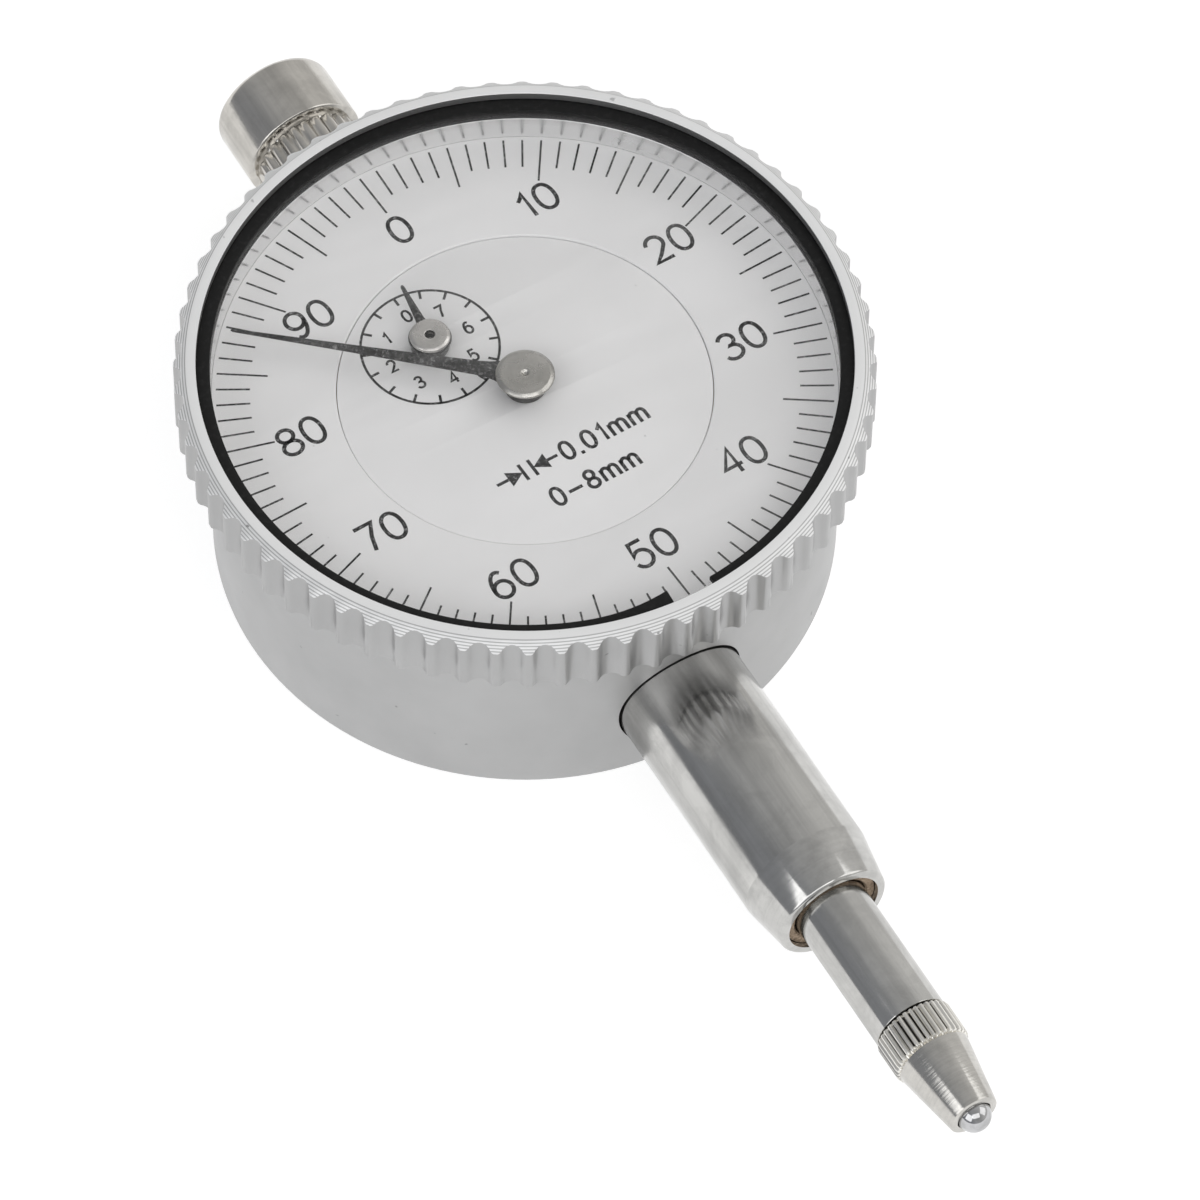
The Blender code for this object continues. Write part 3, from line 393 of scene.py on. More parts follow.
# Blued steel with pale scuffs
POINTER_TONES = [(0.42, 0.022), (0.53, 0.045), (0.6, 0.13), (0.7, 0.34)]
POINTER_GLOSS = [(0.3, 0.5), (0.7, 0.34)]
POINTER = grained(
    "pointer_steel", (0.04, 0.04, 0.04), 0.45, 0.3, (4200, 4, 0.72, 0.8), POINTER_TONES, POINTER_GLOSS, 4.0
)
# The ball: polished, with faint handling smears
BALL_TONES = [(0.35, (0.38, 0.38, 0.38)), (0.6, (0.54, 0.54, 0.55))]
BALL_GLOSS = [(0.35, 0.05), (0.7, 0.13)]
CHROME = grained("polished_ball", (0.50, 0.50, 0.51), 0.05, 1.0, (900, 4, 0.6), BALL_TONES, BALL_GLOSS)
CRYSTAL = make_crystal()


# Mesh helpers


def new_object(name, data):
    made = bpy.data.objects.new(name, data)
    bpy.context.scene.collection.objects.link(made)
    return made


def evaluated_mesh(source):
    """An object's mesh, with its modifiers or its curve's bevel."""
    bpy.context.view_layer.update()
    evaluated = source.evaluated_get(bpy.context.evaluated_depsgraph_get())
    return bpy.data.meshes.new_from_object(evaluated)


def walls(builder, first, second, closed=True):
    """The faces between two rows of vertices."""
    count = len(first)
    for j in range(count if closed else count - 1):
        k = (j + 1) % count
        builder.faces.new((first[j], first[k], second[k], second[j]))


def to_object(name, builder, finish, sharp=30.0):
    """A closed bmesh in millimetres as a smooth-shaded object in metres."""
    bmesh.ops.remove_doubles(builder, verts=builder.verts, dist=0.00005)
    bmesh.ops.recalc_face_normals(builder, faces=builder.faces)
    bmesh.ops.scale(builder, vec=(MM, MM, MM), verts=builder.verts)
    mesh = bpy.data.meshes.new(name)
    builder.to_mesh(mesh)
    builder.free()
    mesh.shade_smooth()
    mesh.set_sharp_from_angle(angle=math.radians(sharp))
    mesh.materials.append(finish)
    return new_object(name, mesh)


def lathe(name, profile, steps, finish, centre=(0, 0, 0), axis="Z", closed=True, sharp=30.0):
    """A turned shape from (radius, distance along the axis) points, or a function of the angle."""
    builder = bmesh.new()
    rings = []
    for i in range(steps):
        angle = 2 * math.pi * i / steps
        points = profile(angle) if callable(profile) else profile
        ring = []
        for r, h in points:
            across, up = r * math.cos(angle), r * math.sin(angle)
            offset = (across, up, h) if axis == "Z" else (across, h, up)
            ring.append(builder.verts.new([c + o for c, o in zip(centre, offset)]))
        rings.append(ring)
    for i in range(steps):
        walls(builder, rings[i], rings[(i + 1) % steps], closed)
    return to_object(name, builder, finish, sharp)


def rounded(profile, radius, steps=3, closed=True):
    """The profile with each corner rounded, less where its edges are short."""
    result = []
    count = len(profile)
    for i, point in enumerate(profile):
        corner = Vector(point)
        if not closed and i in (0, count - 1):
            result.append(tuple(corner))
            continue
        before = Vector(profile[i - 1]) - corner
        after = Vector(profile[(i + 1) % count]) - corner
        reach = min(radius, before.length * 0.4, after.length * 0.4)
        start = corner + before.normalized() * reach
        end = corner + after.normalized() * reach
        for step in range(steps + 1):
            t = step / steps
            result.append(tuple(start * (1 - t) ** 2 + corner * 2 * t * (1 - t) + end * t**2))
    return result


def bearing_point(radius, bearing, centre=(0.0, 0.0)):
    turn = math.radians(bearing)
    return (centre[0] + radius * math.sin(turn), centre[1] + radius * math.cos(turn))


def arc(radius, start, end, count, centre=(0.0, 0.0)):
    step = (end - start) / (count - 1)
    return [bearing_point(radius, start + step * i, centre) for i in range(count)]


def ring_points(radius, count, centre=(0.0, 0.0)):
    return [bearing_point(radius, 360.0 * i / count, centre) for i in range(count)]


def plate(name, loops, low, high, finish, bevel=0.0, sharp=30.0):
    """A flat outline with holes and softened edges, as a mesh."""
    curve = bpy.data.curves.new(name, "CURVE")
    curve.dimensions = "2D"
    curve.fill_mode = "BOTH"
    curve.extrude = ((high - low) / 2 - bevel) * MM
    curve.bevel_depth = bevel * MM
    curve.bevel_resolution = 1
    curve.offset = -bevel * MM
    for loop in loops:
        spline = curve.splines.new("POLY")
        spline.points.add(len(loop) - 1)
        for point, (x, y) in zip(spline.points, loop):
            point.co = (x * MM, y * MM, 0.0, 1.0)
        spline.use_cyclic_u = True
    holder = new_object(name, curve)
    mesh = evaluated_mesh(holder)
    bpy.data.objects.remove(holder, do_unlink=True)
    bpy.data.curves.remove(curve)
    builder = bmesh.new()
    builder.from_mesh(mesh)
    bpy.data.meshes.remove(mesh)
    bmesh.ops.scale(builder, vec=(1 / MM, 1 / MM, 1 / MM), verts=builder.verts)
    bmesh.ops.translate(builder, vec=(0, 0, (low + high) / 2), verts=builder.verts)
    made = to_object(name, builder, finish, sharp)
    made.data.materials.clear()
    made.data.materials.append(finish)
    return made


def rod(radius, start, end, segments):
    """A plain cylinder between two points, as a cutter or a part of another shape."""
    start, end = Vector(start), Vector(end)
    builder = bmesh.new()
    turn = (end - start).to_track_quat("Z", "Y").to_matrix().to_4x4()
    bmesh.ops.create_cone(
        builder,
        cap_ends=True,
        segments=segments,
        radius1=radius,
        radius2=radius,
        depth=(end - start).length,
        matrix=Matrix.Translation((start + end) / 2) @ turn,
    )
    return builder


def boxed(low, high):
    builder = bmesh.new()
    bmesh.ops.create_cube(builder, size=1.0)
    size = [b - a for a, b in zip(low, high)]
    bmesh.ops.scale(builder, vec=size, verts=builder.verts)
    bmesh.ops.translate(builder, vec=[(a + b) / 2 for a, b in zip(low, high)], verts=builder.verts)
    return builder


def combine(target, tools, operation, finish):
    """Cuts the tools from the target, or joins them to it, and keeps the result as its mesh."""
    for tool_builder in tools:
        tool = to_object("tool", tool_builder, finish)
        step = target.modifiers.new("step", "BOOLEAN")
        step.operation = operation
        step.solver = "EXACT"
        step.object = tool
        mesh = evaluated_mesh(target)
        target.modifiers.clear()
        target.data = mesh
        bpy.data.objects.remove(tool, do_unlink=True)
    target.data.materials.clear()
    target.data.materials.append(finish)
    target.data.shade_smooth()
    target.data.set_sharp_from_angle(angle=math.radians(30))


def finish_below(piece, finish, axis, limit):
    """Gives a second finish to the faces whose middle lies below a limit on an axis."""
    piece.data.materials.append(finish)
    for face in piece.data.polygons:
        if face.center[axis] < limit * MM:
            face.material_index = 1


def show(piece, body, slot, *nodes):
    """The piece rides on a body and stands for some CAD nodes; the slot is not used."""
    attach(piece, body)
    if nodes:
        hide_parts(*nodes)
    return piece


# Camera, floor and light

camera_data = bpy.data.cameras.new("camera")
camera_data.sensor_width = 36.0
camera_data.lens = 254.36
camera = new_object("camera", camera_data)
camera.location = (-0.14287, -0.24930, 0.42016)
AIM = Vector((-0.003676, -0.015170, 0.0139))
ROLL = math.radians(0.94)
camera.rotation_mode = "QUATERNION"
look = (AIM - camera.location).to_track_quat("-Z", "Y")
camera.rotation_quaternion = look @ Quaternion((0, 0, 1), ROLL)
camera_data.clip_start = 0.01
camera_data.clip_end = 50.0
bpy.context.scene.camera = camera

floor_mesh = bpy.data.meshes.new("floor")
FLOOR_HALF = 3.0
corners = [(x * FLOOR_HALF, y * FLOOR_HALF, 0) for x, y in ((-1, -1), (1, -1), (1, 1), (-1, 1))]
floor_mesh.from_pydata(corners, [], [(0, 1, 2, 3)])
floor = new_object("floor", floor_mesh)
floor.location.z = -0.00002
floor_white = new_material("floor_white", (0.45, 0.45, 0.45), 0.9, 0.0)
shader_of(floor_white).inputs["Emission Color"].default_value = (1.0, 1.0, 1.0, 1.0)
shader_of(floor_white).inputs["Emission Strength"].default_value = 0.74
floor_mesh.materials.append(floor_white)


def area_light(name, place_m, size_m, watts):
    """A soft box that faces the origin."""
    data = bpy.data.lights.new(name, "AREA")
    data.shape = "RECTANGLE"
    data.size, data.size_y = size_m
    data.energy = watts
    made = new_object(name, data)
    made.location = place_m
    made.rotation_mode = "QUATERNION"
    made.rotation_quaternion = (Vector((0, 0, 0)) - Vector(place_m)).to_track_quat("-Z", "Y")


area_light("left_softbox", (-1.05, -0.45, 0.7), (1.0, 0.9), 4.4)
area_light("right_softbox", (1.0, -0.45, 0.75), (1.0, 0.9), 2.6)
area_light("front_softbox", (-0.2, -1.0, 1.2), (1.3, 0.8), 4.4)

world = bpy.data.worlds.new("studio")
bpy.context.scene.world = world
world.use_nodes = True
tree = world.node_tree
background = tree.nodes["Background"]
direction = tree.nodes.new("ShaderNodeTexCoord")
parts_of = tree.nodes.new("ShaderNodeSeparateXYZ")
tree.links.new(direction.outputs["Generated"], parts_of.inputs["Vector"])
sideways = tree.nodes.new("ShaderNodeValToRGB")
sideways.color_ramp.elements.new(0.4)
sideways.color_ramp.elements.new(0.6)
# Dark and a little blue on the left, bright and a little warm on the right
WORLD_STOPS = [
    (0.12, (0.30, 0.31, 0.33)),
    (0.34, (0.46, 0.465, 0.47)),
    (0.64, (0.54, 0.54, 0.535)),
    (0.88, (0.75, 0.745, 0.73)),
]
for element, (where, tone) in zip(sideways.color_ramp.elements, WORLD_STOPS):
    element.position = where
    element.color = (*tone, 1.0)
shifted = tree.nodes.new("ShaderNodeMapRange")
shifted.inputs["From Min"].default_value = -1.0
tree.links.new(parts_of.outputs["X"], shifted.inputs["Value"])
tree.links.new(shifted.outputs["Result"], sideways.inputs["Fac"])
tree.links.new(sideways.outputs["Color"], background.inputs["Color"])
background.inputs["Strength"].default_value = 1.0
bpy.context.scene.view_settings.view_transform = "Standard"


# Case


COVER_SCREW_CIRCLE = 15.9
COVER_SCREWS = 4
MOVEMENT_SCREWS = 3


def make_case():
    """The cup with its ledge and neck, the boss for the upper bushing, and the threaded holes."""
    bore_r = 17.2
    ledge_r = 14.8
    skirt_r = 18.0
    groove_r = 18.28
    seat_r = 15.0
    wall = [
        (skirt_r, CASE_HIGH),
        (CASE_R, CASE_HIGH),
        (CASE_R, CASE_LOW + 0.25),
        (CASE_R - 0.25, CASE_LOW),
        (COVER_R + 0.1, CASE_LOW),
        (COVER_R + 0.1, COVER_HIGH + 0.1),
        (ledge_r, COVER_HIGH + 0.1),
        (ledge_r, 3.0),
        (bore_r, 3.0),
        (bore_r, 10.3),
        (seat_r, 10.3),
        (seat_r, 11.2),
        (skirt_r, 11.2),
        (skirt_r, 11.95),
        (groove_r, 11.95),
        (groove_r, 12.65),
        (skirt_r, 12.65),
    ]
    case = lathe("case_shell", rounded(wall, 0.12, 2), 160, CASE_SATIN)
    boss_end = span("case_body")[1].y
    boss = rod(3.9, (0, 17.35, SPINDLE_Z), (0, boss_end, SPINDLE_Z), 96)
    combine(case, [boss], "UNION", CASE_SATIN)
    cutters = [
        rod(STEM_R + 0.1, (0, -13, SPINDLE_Z), (0, -20, SPINDLE_Z), 96),
        rod(3.05, (0, 13, SPINDLE_Z), (0, 24, SPINDLE_Z), 64),
    ]
    for i in range(COVER_SCREWS):
        x, y = bearing_point(COVER_SCREW_CIRCLE, 45 + 90 * i)
        cutters.append(rod(0.85, (x, y, 0.5), (x, y, 2.75), 24))
    for i in range(MOVEMENT_SCREWS):
        x, y = bearing_point(COVER_SCREW_CIRCLE, 90 + 120 * i)
        cutters.append(rod(0.6, (x, y, 9.2), (x, y, 12.2), 24))
    combine(case, cutters, "DIFFERENCE", CASE_SATIN)
    show(case, "case", "case_aluminium", "case_body")


def make_cover():
    """The turned cover and its slotted countersunk screws."""
    disc = [(0, COVER_HIGH), (COVER_R, COVER_HIGH), (COVER_R, 0.15), (COVER_R - 0.15, 0), (0, 0)]
    outline = rounded(disc, 0.08, 2, closed=False)
    cover = lathe("back_cover_disc", outline, 160, COVER_TURNED, closed=False)
    sinks = []
    for i in range(COVER_SCREWS):
        x, y = bearing_point(COVER_SCREW_CIRCLE, 45 + 90 * i)
        cone = bmesh.new()
        bmesh.ops.create_cone(
            cone,
            cap_ends=True,
            segments=48,
            radius1=2.0,
            radius2=0.9,
            depth=1.1,
            matrix=Matrix.Translation((x, y, 0.25)),
        )
        sinks.append(cone)
        sinks.append(rod(0.9, (x, y, -0.2), (x, y, 1.5), 32))
        shank = [(0, 2.55), (0.6, 2.55), (0.72, 2.4), (0.72, 0.8)]
        head = [(1.4, 0.15), (1.4, 0.05), (0, 0.05)]
        outline = rounded(shank + head, 0.05, 2, closed=False)
        screw = lathe("cover_screw_" + str(i + 1), outline, 48, STEEL, (x, y, 0), closed=False)
        slot = boxed((x - 1.6, y - 0.16, -0.3), (x + 1.6, y + 0.16, 0.35))
        combine(screw, [slot], "DIFFERENCE", STEEL)
        show(screw, "case", "ground_steel", "back_cover_screw_" + str(i + 1))
    combine(cover, sinks, "DIFFERENCE", COVER_TURNED)
    show(cover, "case", "case_aluminium", "back_cover")


def make_stem():
    """The stem with its turned taper, and the bush in its mouth."""
    bore_r = 2.5
    seat_r = 2.95
    seat_y = -26.0
    mouth_r = 3.5
    taper_y = -32.7
    outline = [
        (bore_r, STEM_HIGH),
        (STEM_R, STEM_HIGH),
        (STEM_R, taper_y),
        (mouth_r, STEM_LOW + 0.12),
        (mouth_r - 0.12, STEM_LOW),
        (seat_r, STEM_LOW),
        (seat_r, seat_y),
        (bore_r, seat_y),
    ]
    stem = lathe("stem_sleeve", rounded(outline, 0.06, 2), 128, STEEL, SPINDLE_AXIS, "Y", sharp=20)
    # The taper at the mouth was turned after grinding, so it has its own finish.
    finish_below(stem, STEM_TURNED, 1, taper_y - 0.02)
    show(stem, "case", "ground_steel", "stem")

    face_y = span("stem_bushing")[0].y
    bore = 2.36
    inner_y = seat_y - 0.1
    ring = [
        (BUSH_R, inner_y),
        (BUSH_R, face_y),
        (bore + 0.1, face_y),
        (bore, face_y + 0.1),
        (bore, inner_y),
    ]
    bush = lathe("stem_bush", ring, 96, BRONZE, SPINDLE_AXIS, "Y")
    show(bush, "case", "bronze", "stem_bushing")


def make_cap():
    """The dust cap: a plain head with a rounded rim over a coarsely fluted band."""
    shoulder = 27.1
    band_r = 3.45
    rim = 0.7
    flutes = 25

    def outline(angle):
        wander = 0.35 * math.sin(3 * angle + 1.0) + 0.25 * math.sin(7 * angle)
        groove = (0.5 + 0.5 * math.cos(flutes * angle + wander)) ** 1.6
        cut = 0.2 * groove * (1.0 + 0.25 * math.sin(5 * angle + 2.0))
        points = [(0, CAP_HIGH)]
        for step in range(9):
            a = math.radians(90 * step / 8)
            points.append((CAP_R - rim * (1 - math.sin(a)), CAP_HIGH - rim * (1 - math.cos(a))))
        points += [
            (CAP_R, shoulder + 0.12),
            (CAP_R - 0.03, shoulder + 0.04),
            (CAP_R - 0.1, shoulder),
            (band_r - 0.25, shoulder - 0.02),
            (band_r - 0.25, shoulder - 0.25),
            (band_r - 0.06 - cut, shoulder - 0.3),
            (band_r - cut, shoulder - 0.4),
            (band_r - cut, CAP_LOW + 0.4),
            (band_r - 0.06 - cut, CAP_LOW + 0.25),
            (band_r - 0.3, CAP_LOW + 0.2),
            (band_r - 0.3, CAP_LOW),
            (3.0, CAP_LOW),
            (3.0, 26.4),
            (2.7, 26.4),
            (2.7, CAP_HIGH - 1.0),
            (0, CAP_HIGH - 1.0),
        ]
        return points

    steps = flutes * 14
    cap = lathe("dust_cap_shell", outline, steps, CAP_NICKEL, SPINDLE_AXIS, "Y", False, 40)
    show(cap, "case", "nickel_plate", "dust_cap")


# Spindle


def make_spindle():
    """The spindle: a socket for the contact point, a rack, and holes for its two pins."""
    socket_r = 1.3
    socket_depth = 5.0
    outline = [
        (0, SPINDLE_HIGH),
        (SPINDLE_R - 0.4, SPINDLE_HIGH),
        (SPINDLE_R, SPINDLE_HIGH - 0.4),
        (SPINDLE_R, SPINDLE_LOW),
        (socket_r, SPINDLE_LOW),
        (socket_r, SPINDLE_LOW + socket_depth),
        (0, SPINDLE_LOW + socket_depth),
    ]
    outline = rounded(outline, 0.06, 2, closed=False)
    spindle = lathe("spindle_shaft", outline, 96, SPINDLE_STEEL, SPINDLE_AXIS, "Y", closed=False)
    pitch = 0.5
    pinion_teeth = 16
    first_space, last_space = -19, 3
    module = pitch / math.pi
    rack_x = COUNTER.x + pitch * pinion_teeth / (2 * math.pi)
    spaces = bmesh.new()
    for i in range(first_space, last_space):
        y = COUNTER.y + i * pitch
        section = [
            (rack_x + 1.25 * module, y - 0.1),
            (rack_x + 1.25 * module, y + 0.1),
            (rack_x - 2.0 * module, y + 0.225),
            (rack_x - 2.0 * module, y - 0.225),
        ]
        low = [spaces.verts.new((px, py, SPINDLE_Z - 1.8)) for px, py in section]
        high = [spaces.verts.new((px, py, SPINDLE_Z + 1.8)) for px, py in section]
        spaces.faces.new(low)
        spaces.faces.new(high)
        walls(spaces, low, high)
    pin_y = middle_of("guide_pin").y
    spring_pin_y = middle_of("spring_pin").y
    cutters = [
        spaces,
        rod(0.65, (0, pin_y, SPINDLE_Z - 0.8), (0, pin_y, 0), 24),
        rod(0.45, (0.8, spring_pin_y, SPINDLE_Z), (5, spring_pin_y, SPINDLE_Z), 24),
    ]
    combine(spindle, cutters, "DIFFERENCE", SPINDLE_STEEL)
    show(spindle, "spindle", "ground_steel", "spindle_rod")


def make_contact():
    """The contact point: a straight-knurled collar and a turned cone that holds the ball."""
    tip = span("contact_point")[0].y
    collar_end = -47.0
    ridges = 38
    knurl_depth = 0.2
    ball_r = radius_of("contact_ball")
    ball_y = middle_of("contact_ball").y

    def outline(angle):
        wander = 0.5 * math.sin(4 * angle) + 0.35 * math.sin(11 * angle + 1.0)
        wave = 0.5 + 0.5 * math.cos(ridges * angle + wander)
        cut = knurl_depth * wave**2.4
        low = SPINDLE_LOW - 0.1
        return [
            (0, SPINDLE_LOW + 4.4),
            (1.2, SPINDLE_LOW + 4.4),
            (1.2, low),
            (COLLAR_R - knurl_depth - 0.06, low),
            (COLLAR_R - 0.04 - cut * 0.9, low - 0.07),
            (COLLAR_R - cut, low - 0.2),
            (COLLAR_R - cut, collar_end + 0.32),
            (COLLAR_R - 0.05 - cut * 0.9, collar_end + 0.14),
            (COLLAR_R - knurl_depth - 0.07, collar_end + 0.06),
            (2.24, collar_end),
            (2.24, collar_end - 0.06),
            (1.55, tip + 0.16),
            (1.51, tip + 0.05),
            (1.42, tip),
            (ball_r + 0.08, tip),
            (ball_r + 0.04, tip + 0.05),
            (ball_r + 0.04, ball_y + 0.3),
            (0.55, ball_y + 1.1),
            (0, ball_y + 1.15),
        ]

    point = lathe("contact_tip", outline, ridges * 8, POINT_NICKEL, SPINDLE_AXIS, "Y", False, 35)
    # The knurl is rougher than the cone, and the bottoms of its grooves take the dark steel: painted
    # shade, with some oil and dirt in them.
    point.data.materials.append(KNURL_NICKEL)
    point.data.materials.append(DARK_STEEL_AND_SHADE)
    # Collar faces below this radius, away from its ends, get the dark steel as painted shade in the
    # grooves.
    groove_r = COLLAR_R - 0.7 * knurl_depth
    for face in point.data.polygons:
        x, y, z = (c / MM for c in face.center)
        if collar_end < y < SPINDLE_LOW:
            groove_shade_band = collar_end + 0.3 < y < SPINDLE_LOW - 0.25
            face.material_index = 2 if groove_shade_band and math.hypot(x, z - SPINDLE_Z) < groove_r else 1
    show(point, "spindle", "nickel_plate", "contact_point")
    builder = bmesh.new()
    bmesh.ops.create_uvsphere(builder, u_segments=64, v_segments=40, radius=ball_r)
    bmesh.ops.translate(builder, vec=(0, ball_y, SPINDLE_Z), verts=builder.verts)
    ball = to_object("contact_ball_polished", builder, CHROME)
    show(ball, "spindle", "polished_ball", "contact_ball")


def make_return_spring():
    """A round-wire extension spring that stretches between its post and the spindle's pin."""
    low, high = span("return_spring")
    start, end = low.y + 0.1, high.y - 0.1
    wire_r = 0.11
    coil_r = (high.z - low.z) / 2 - wire_r
    x = (low.x + high.x) / 2
    turns, per_turn, sides = 24, 16, 8
    builder = bmesh.new()
    rings = []
    for i in range(turns * per_turn + 1):
        angle = 2 * math.pi * i / per_turn
        y = start + (end - start) * i / (turns * per_turn)
        out = Vector((math.cos(angle), 0, math.sin(angle)))
        middle = Vector((x, y, SPINDLE_Z)) + out * coil_r
        ring = []
        for j in range(sides):
            a = 2 * math.pi * j / sides
            along = Vector((0, wire_r * math.sin(a), 0))
            ring.append(builder.verts.new(middle + out * wire_r * math.cos(a) + along))
        rings.append(ring)
    for first, second in zip(rings, rings[1:]):
        walls(builder, first, second)
    builder.faces.new(rings[0])
    builder.faces.new(rings[-1])
    spring = to_object("return_spring_wire", builder, SPRING_STEEL)
    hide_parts("return_spring")
    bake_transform(spring)


# Bezel, crystal and snap ring


def make_bezel():
    """The bezel: a scalloped rim, a turned chamfer and a flat lip over the crystal."""
    scallops = 68
    scallop_r = 0.8
    scallop_depth = 0.46
    flat_r = 19.85
    crest_top = DIAL_Z + 2.6
    lip_r = 19.24
    cutter_at = CREST_R - scallop_depth + scallop_r
    slope = (BEZEL_HIGH - crest_top) / (CREST_R - flat_r)
    soft = 0.03
    samples = 14

    def wall_radius(angle):
        step = 2 * math.pi / scallops
        off = (angle + step / 2) % step - step / 2
        reach = scallop_r**2 - (cutter_at * math.sin(off)) ** 2
        if reach <= 0:
            return CREST_R
        return min(CREST_R, cutter_at * math.cos(off) - math.sqrt(reach))

    def outline(angle):
        wall = wall_radius(angle)
        edge = BEZEL_HIGH - (wall - flat_r) * slope
        return [
            (lip_r + soft, BEZEL_HIGH),
            (19.5, BEZEL_HIGH),
            (flat_r - soft, BEZEL_HIGH),
            (flat_r + soft * 0.5, BEZEL_HIGH - soft * 0.5),
            (wall - soft, edge + soft * slope),
            (wall - soft * 0.25, edge - soft * 0.2),
            (wall, edge - soft * 1.4),
            (wall, BEZEL_HIGH - 4.03 + 0.14),
            (wall - 0.04, BEZEL_HIGH - 4.03 + 0.04),
            (wall - 0.14, BEZEL_HIGH - 4.03),
            (17.9, BEZEL_HIGH - 4.03),
            (17.9, DIAL_Z - 1.25),
            (17.62, DIAL_Z - 1.25),
            (17.62, DIAL_Z - 1.95),
            (17.9, DIAL_Z - 1.95),
            (17.9, BEZEL_LOW),
            (17.1, BEZEL_LOW),
            (17.1, DIAL_Z - 0.45),
            (18.4, DIAL_Z - 0.45),
            (18.4, DIAL_Z + 1.76),
            (18.42, DIAL_Z + 1.78),
            (19.55, DIAL_Z + 1.78),
            (19.55, DIAL_Z + 2.65),
            (lip_r, DIAL_Z + 2.65),
            (lip_r, BEZEL_HIGH - soft),
        ]

    bezel = lathe("bezel_rim", outline, scallops * samples, BEZEL_SATIN, sharp=38)
    # Only the chamfer shows the tool's lines; the scallops are satin like the case, in a darker copy of
    # the aluminium than the lip: painted shade on the side faces.
    for finish in (RIM_SATIN_SHADED, WALL_SHEEN, LIP_SATIN):
        bezel.data.materials.append(finish)
    top = (crest_top - 0.02) * MM
    for face in bezel.data.polygons:
        reach = face.center.xy.length / MM
        if reach < 19.0:
            face.material_index = 2
        elif face.center.z < top or abs(face.normal.z) < 0.3:
            face.material_index = 1
        elif face.normal.z > 0.995:
            face.material_index = 3
    show(bezel, "bezel", "case_aluminium", "bezel")


def make_crystal_disc():
    low, high = span("crystal")
    disc = [(0, high.z), (CRYSTAL_R, high.z), (CRYSTAL_R, low.z), (0, low.z)]
    crystal = lathe("crystal_window", rounded(disc, 0.04, 2, closed=False), 128, CRYSTAL, closed=False)
    show(crystal, "bezel", "crystal", "crystal")


def make_snap_ring():
    """A flat split ring; the end past the gap has sprung a little inwards."""
    low, high = span("crystal_snap_ring")
    first, last = 182.8, 174.6 + 360.0
    count = 240
    outer, inner = [], []
    for i in range(count):
        bearing = first + (last - first) * i / (count - 1)
        sprung = 0.45 * max(0.0, 1.0 - (bearing - first) / 16.0) ** 2
        outer.append(bearing_point(19.45 - sprung, bearing))
        inner.append(bearing_point(18.43 - sprung, bearing))
    ring = plate("snap_ring", [outer + inner[::-1]], low.z, high.z, BLACK_RING, 0.06)
    show(ring, "bezel", "black_ring", "crystal_snap_ring")


# Dial


def superellipse(cx, cy, rx, ry, start=0.0, end=360.0, count=28, power=2.0):
    points = []
    for i in range(count + 1):
        a = math.radians(start + (end - start) * i / count)
        c, s = math.cos(a), math.sin(a)
        scale = (abs(c) ** power + abs(s) ** power) ** (-1.0 / power)
        points.append((cx + rx * c * scale, cy + ry * s * scale))
    return points


# The strokes of each character in a unit box, and the widths that differ from a digit's
SIX_STEM = superellipse(0.55, 0.32, 0.53, 0.68, 180, 62, 14)
NINE_STEM = [(1 - x, 1 - y) for x, y in SIX_STEM]
STROKES = {
    "0": [superellipse(0.5, 0.5, 0.5, 0.5, power=2.25)],
    "1": [[(0.1, 0.74), (0.5, 0.86), (0.78, 1.0), (0.78, 0.0)]],
    "2": [superellipse(0.5, 0.7, 0.47, 0.3, 172, -28, 16) + [(0.5, 0.26), (0.03, 0.0), (1.0, 0.0)]],
    "3": [
        superellipse(0.48, 0.76, 0.42, 0.24, 158, -90, 16)
        + superellipse(0.48, 0.27, 0.5, 0.27, 86, -160, 18)
    ],
    "4": [[(0.74, 0.0), (0.74, 1.0), (0.0, 0.3), (1.0, 0.3)]],
    "5": [
        [(0.9, 1.0), (0.2, 1.0), (0.08, 0.5)] + superellipse(0.48, 0.33, 0.5, 0.33, 128, -158, 18)
    ],
    "6": [superellipse(0.5, 0.32, 0.48, 0.32), SIX_STEM],
    "7": [[(0.0, 1.0), (1.0, 1.0), (0.62, 0.52), (0.38, 0.0)]],
    "8": [superellipse(0.5, 0.76, 0.42, 0.24), superellipse(0.5, 0.26, 0.5, 0.26)],
    "9": [superellipse(0.5, 0.68, 0.48, 0.32), NINE_STEM],
    "m": [
        [(0.0, 0.0), (0.0, 0.72)],
        superellipse(0.25, 0.47, 0.25, 0.25, 180, 0, 10) + [(0.5, 0.0)],
        superellipse(0.75, 0.47, 0.25, 0.25, 180, 0, 10) + [(1.0, 0.0)],
    ],
    ".": [[(0.5, -0.087), (0.5, 0.087)]],
    "-": [[(0.0, 0.42), (1.0, 0.42)]],
}
WIDTHS = {"1": 0.6, "m": 1.5, ".": 0.12, "-": 1.35}


def ribbon(builder, points, width, low, high):
    """A flat stroke of ink along the points, with square ends."""
    points = [Vector(p) for p in points]
    points = [p for i, p in enumerate(points) if i == 0 or (p - points[i - 1]).length > 0.002]
    loop = (points[0] - points[-1]).length < 0.02 and len(points) > 3
    if loop:
        points = points[:-1]
    count = len(points)
    sides = []
    for i, point in enumerate(points):
        before = points[i - 1] if i or loop else None
        after = points[(i + 1) % count] if i < count - 1 or loop else None
        incoming = (point - before).normalized() if before else (after - point).normalized()
        outgoing = (after - point).normalized() if after else incoming
        middle = (incoming + outgoing).normalized()
        normal = Vector((-middle.y, middle.x))
        stretch = min(1.8, 1.0 / max(0.35, middle.dot(outgoing)))
        offset = normal * width / 2 * stretch
        sides.append((point + offset, point - offset))
    quads = []
    for left, right in sides:
        corners = ((left, high), (right, high), (right, low), (left, low))
        quads.append([builder.verts.new((*side, z)) for side, z in corners])
    for i in range(count if loop else count - 1):
        walls(builder, quads[i], quads[(i + 1) % count])
    if not loop:
        builder.faces.new(quads[0])
        builder.faces.new(quads[-1])


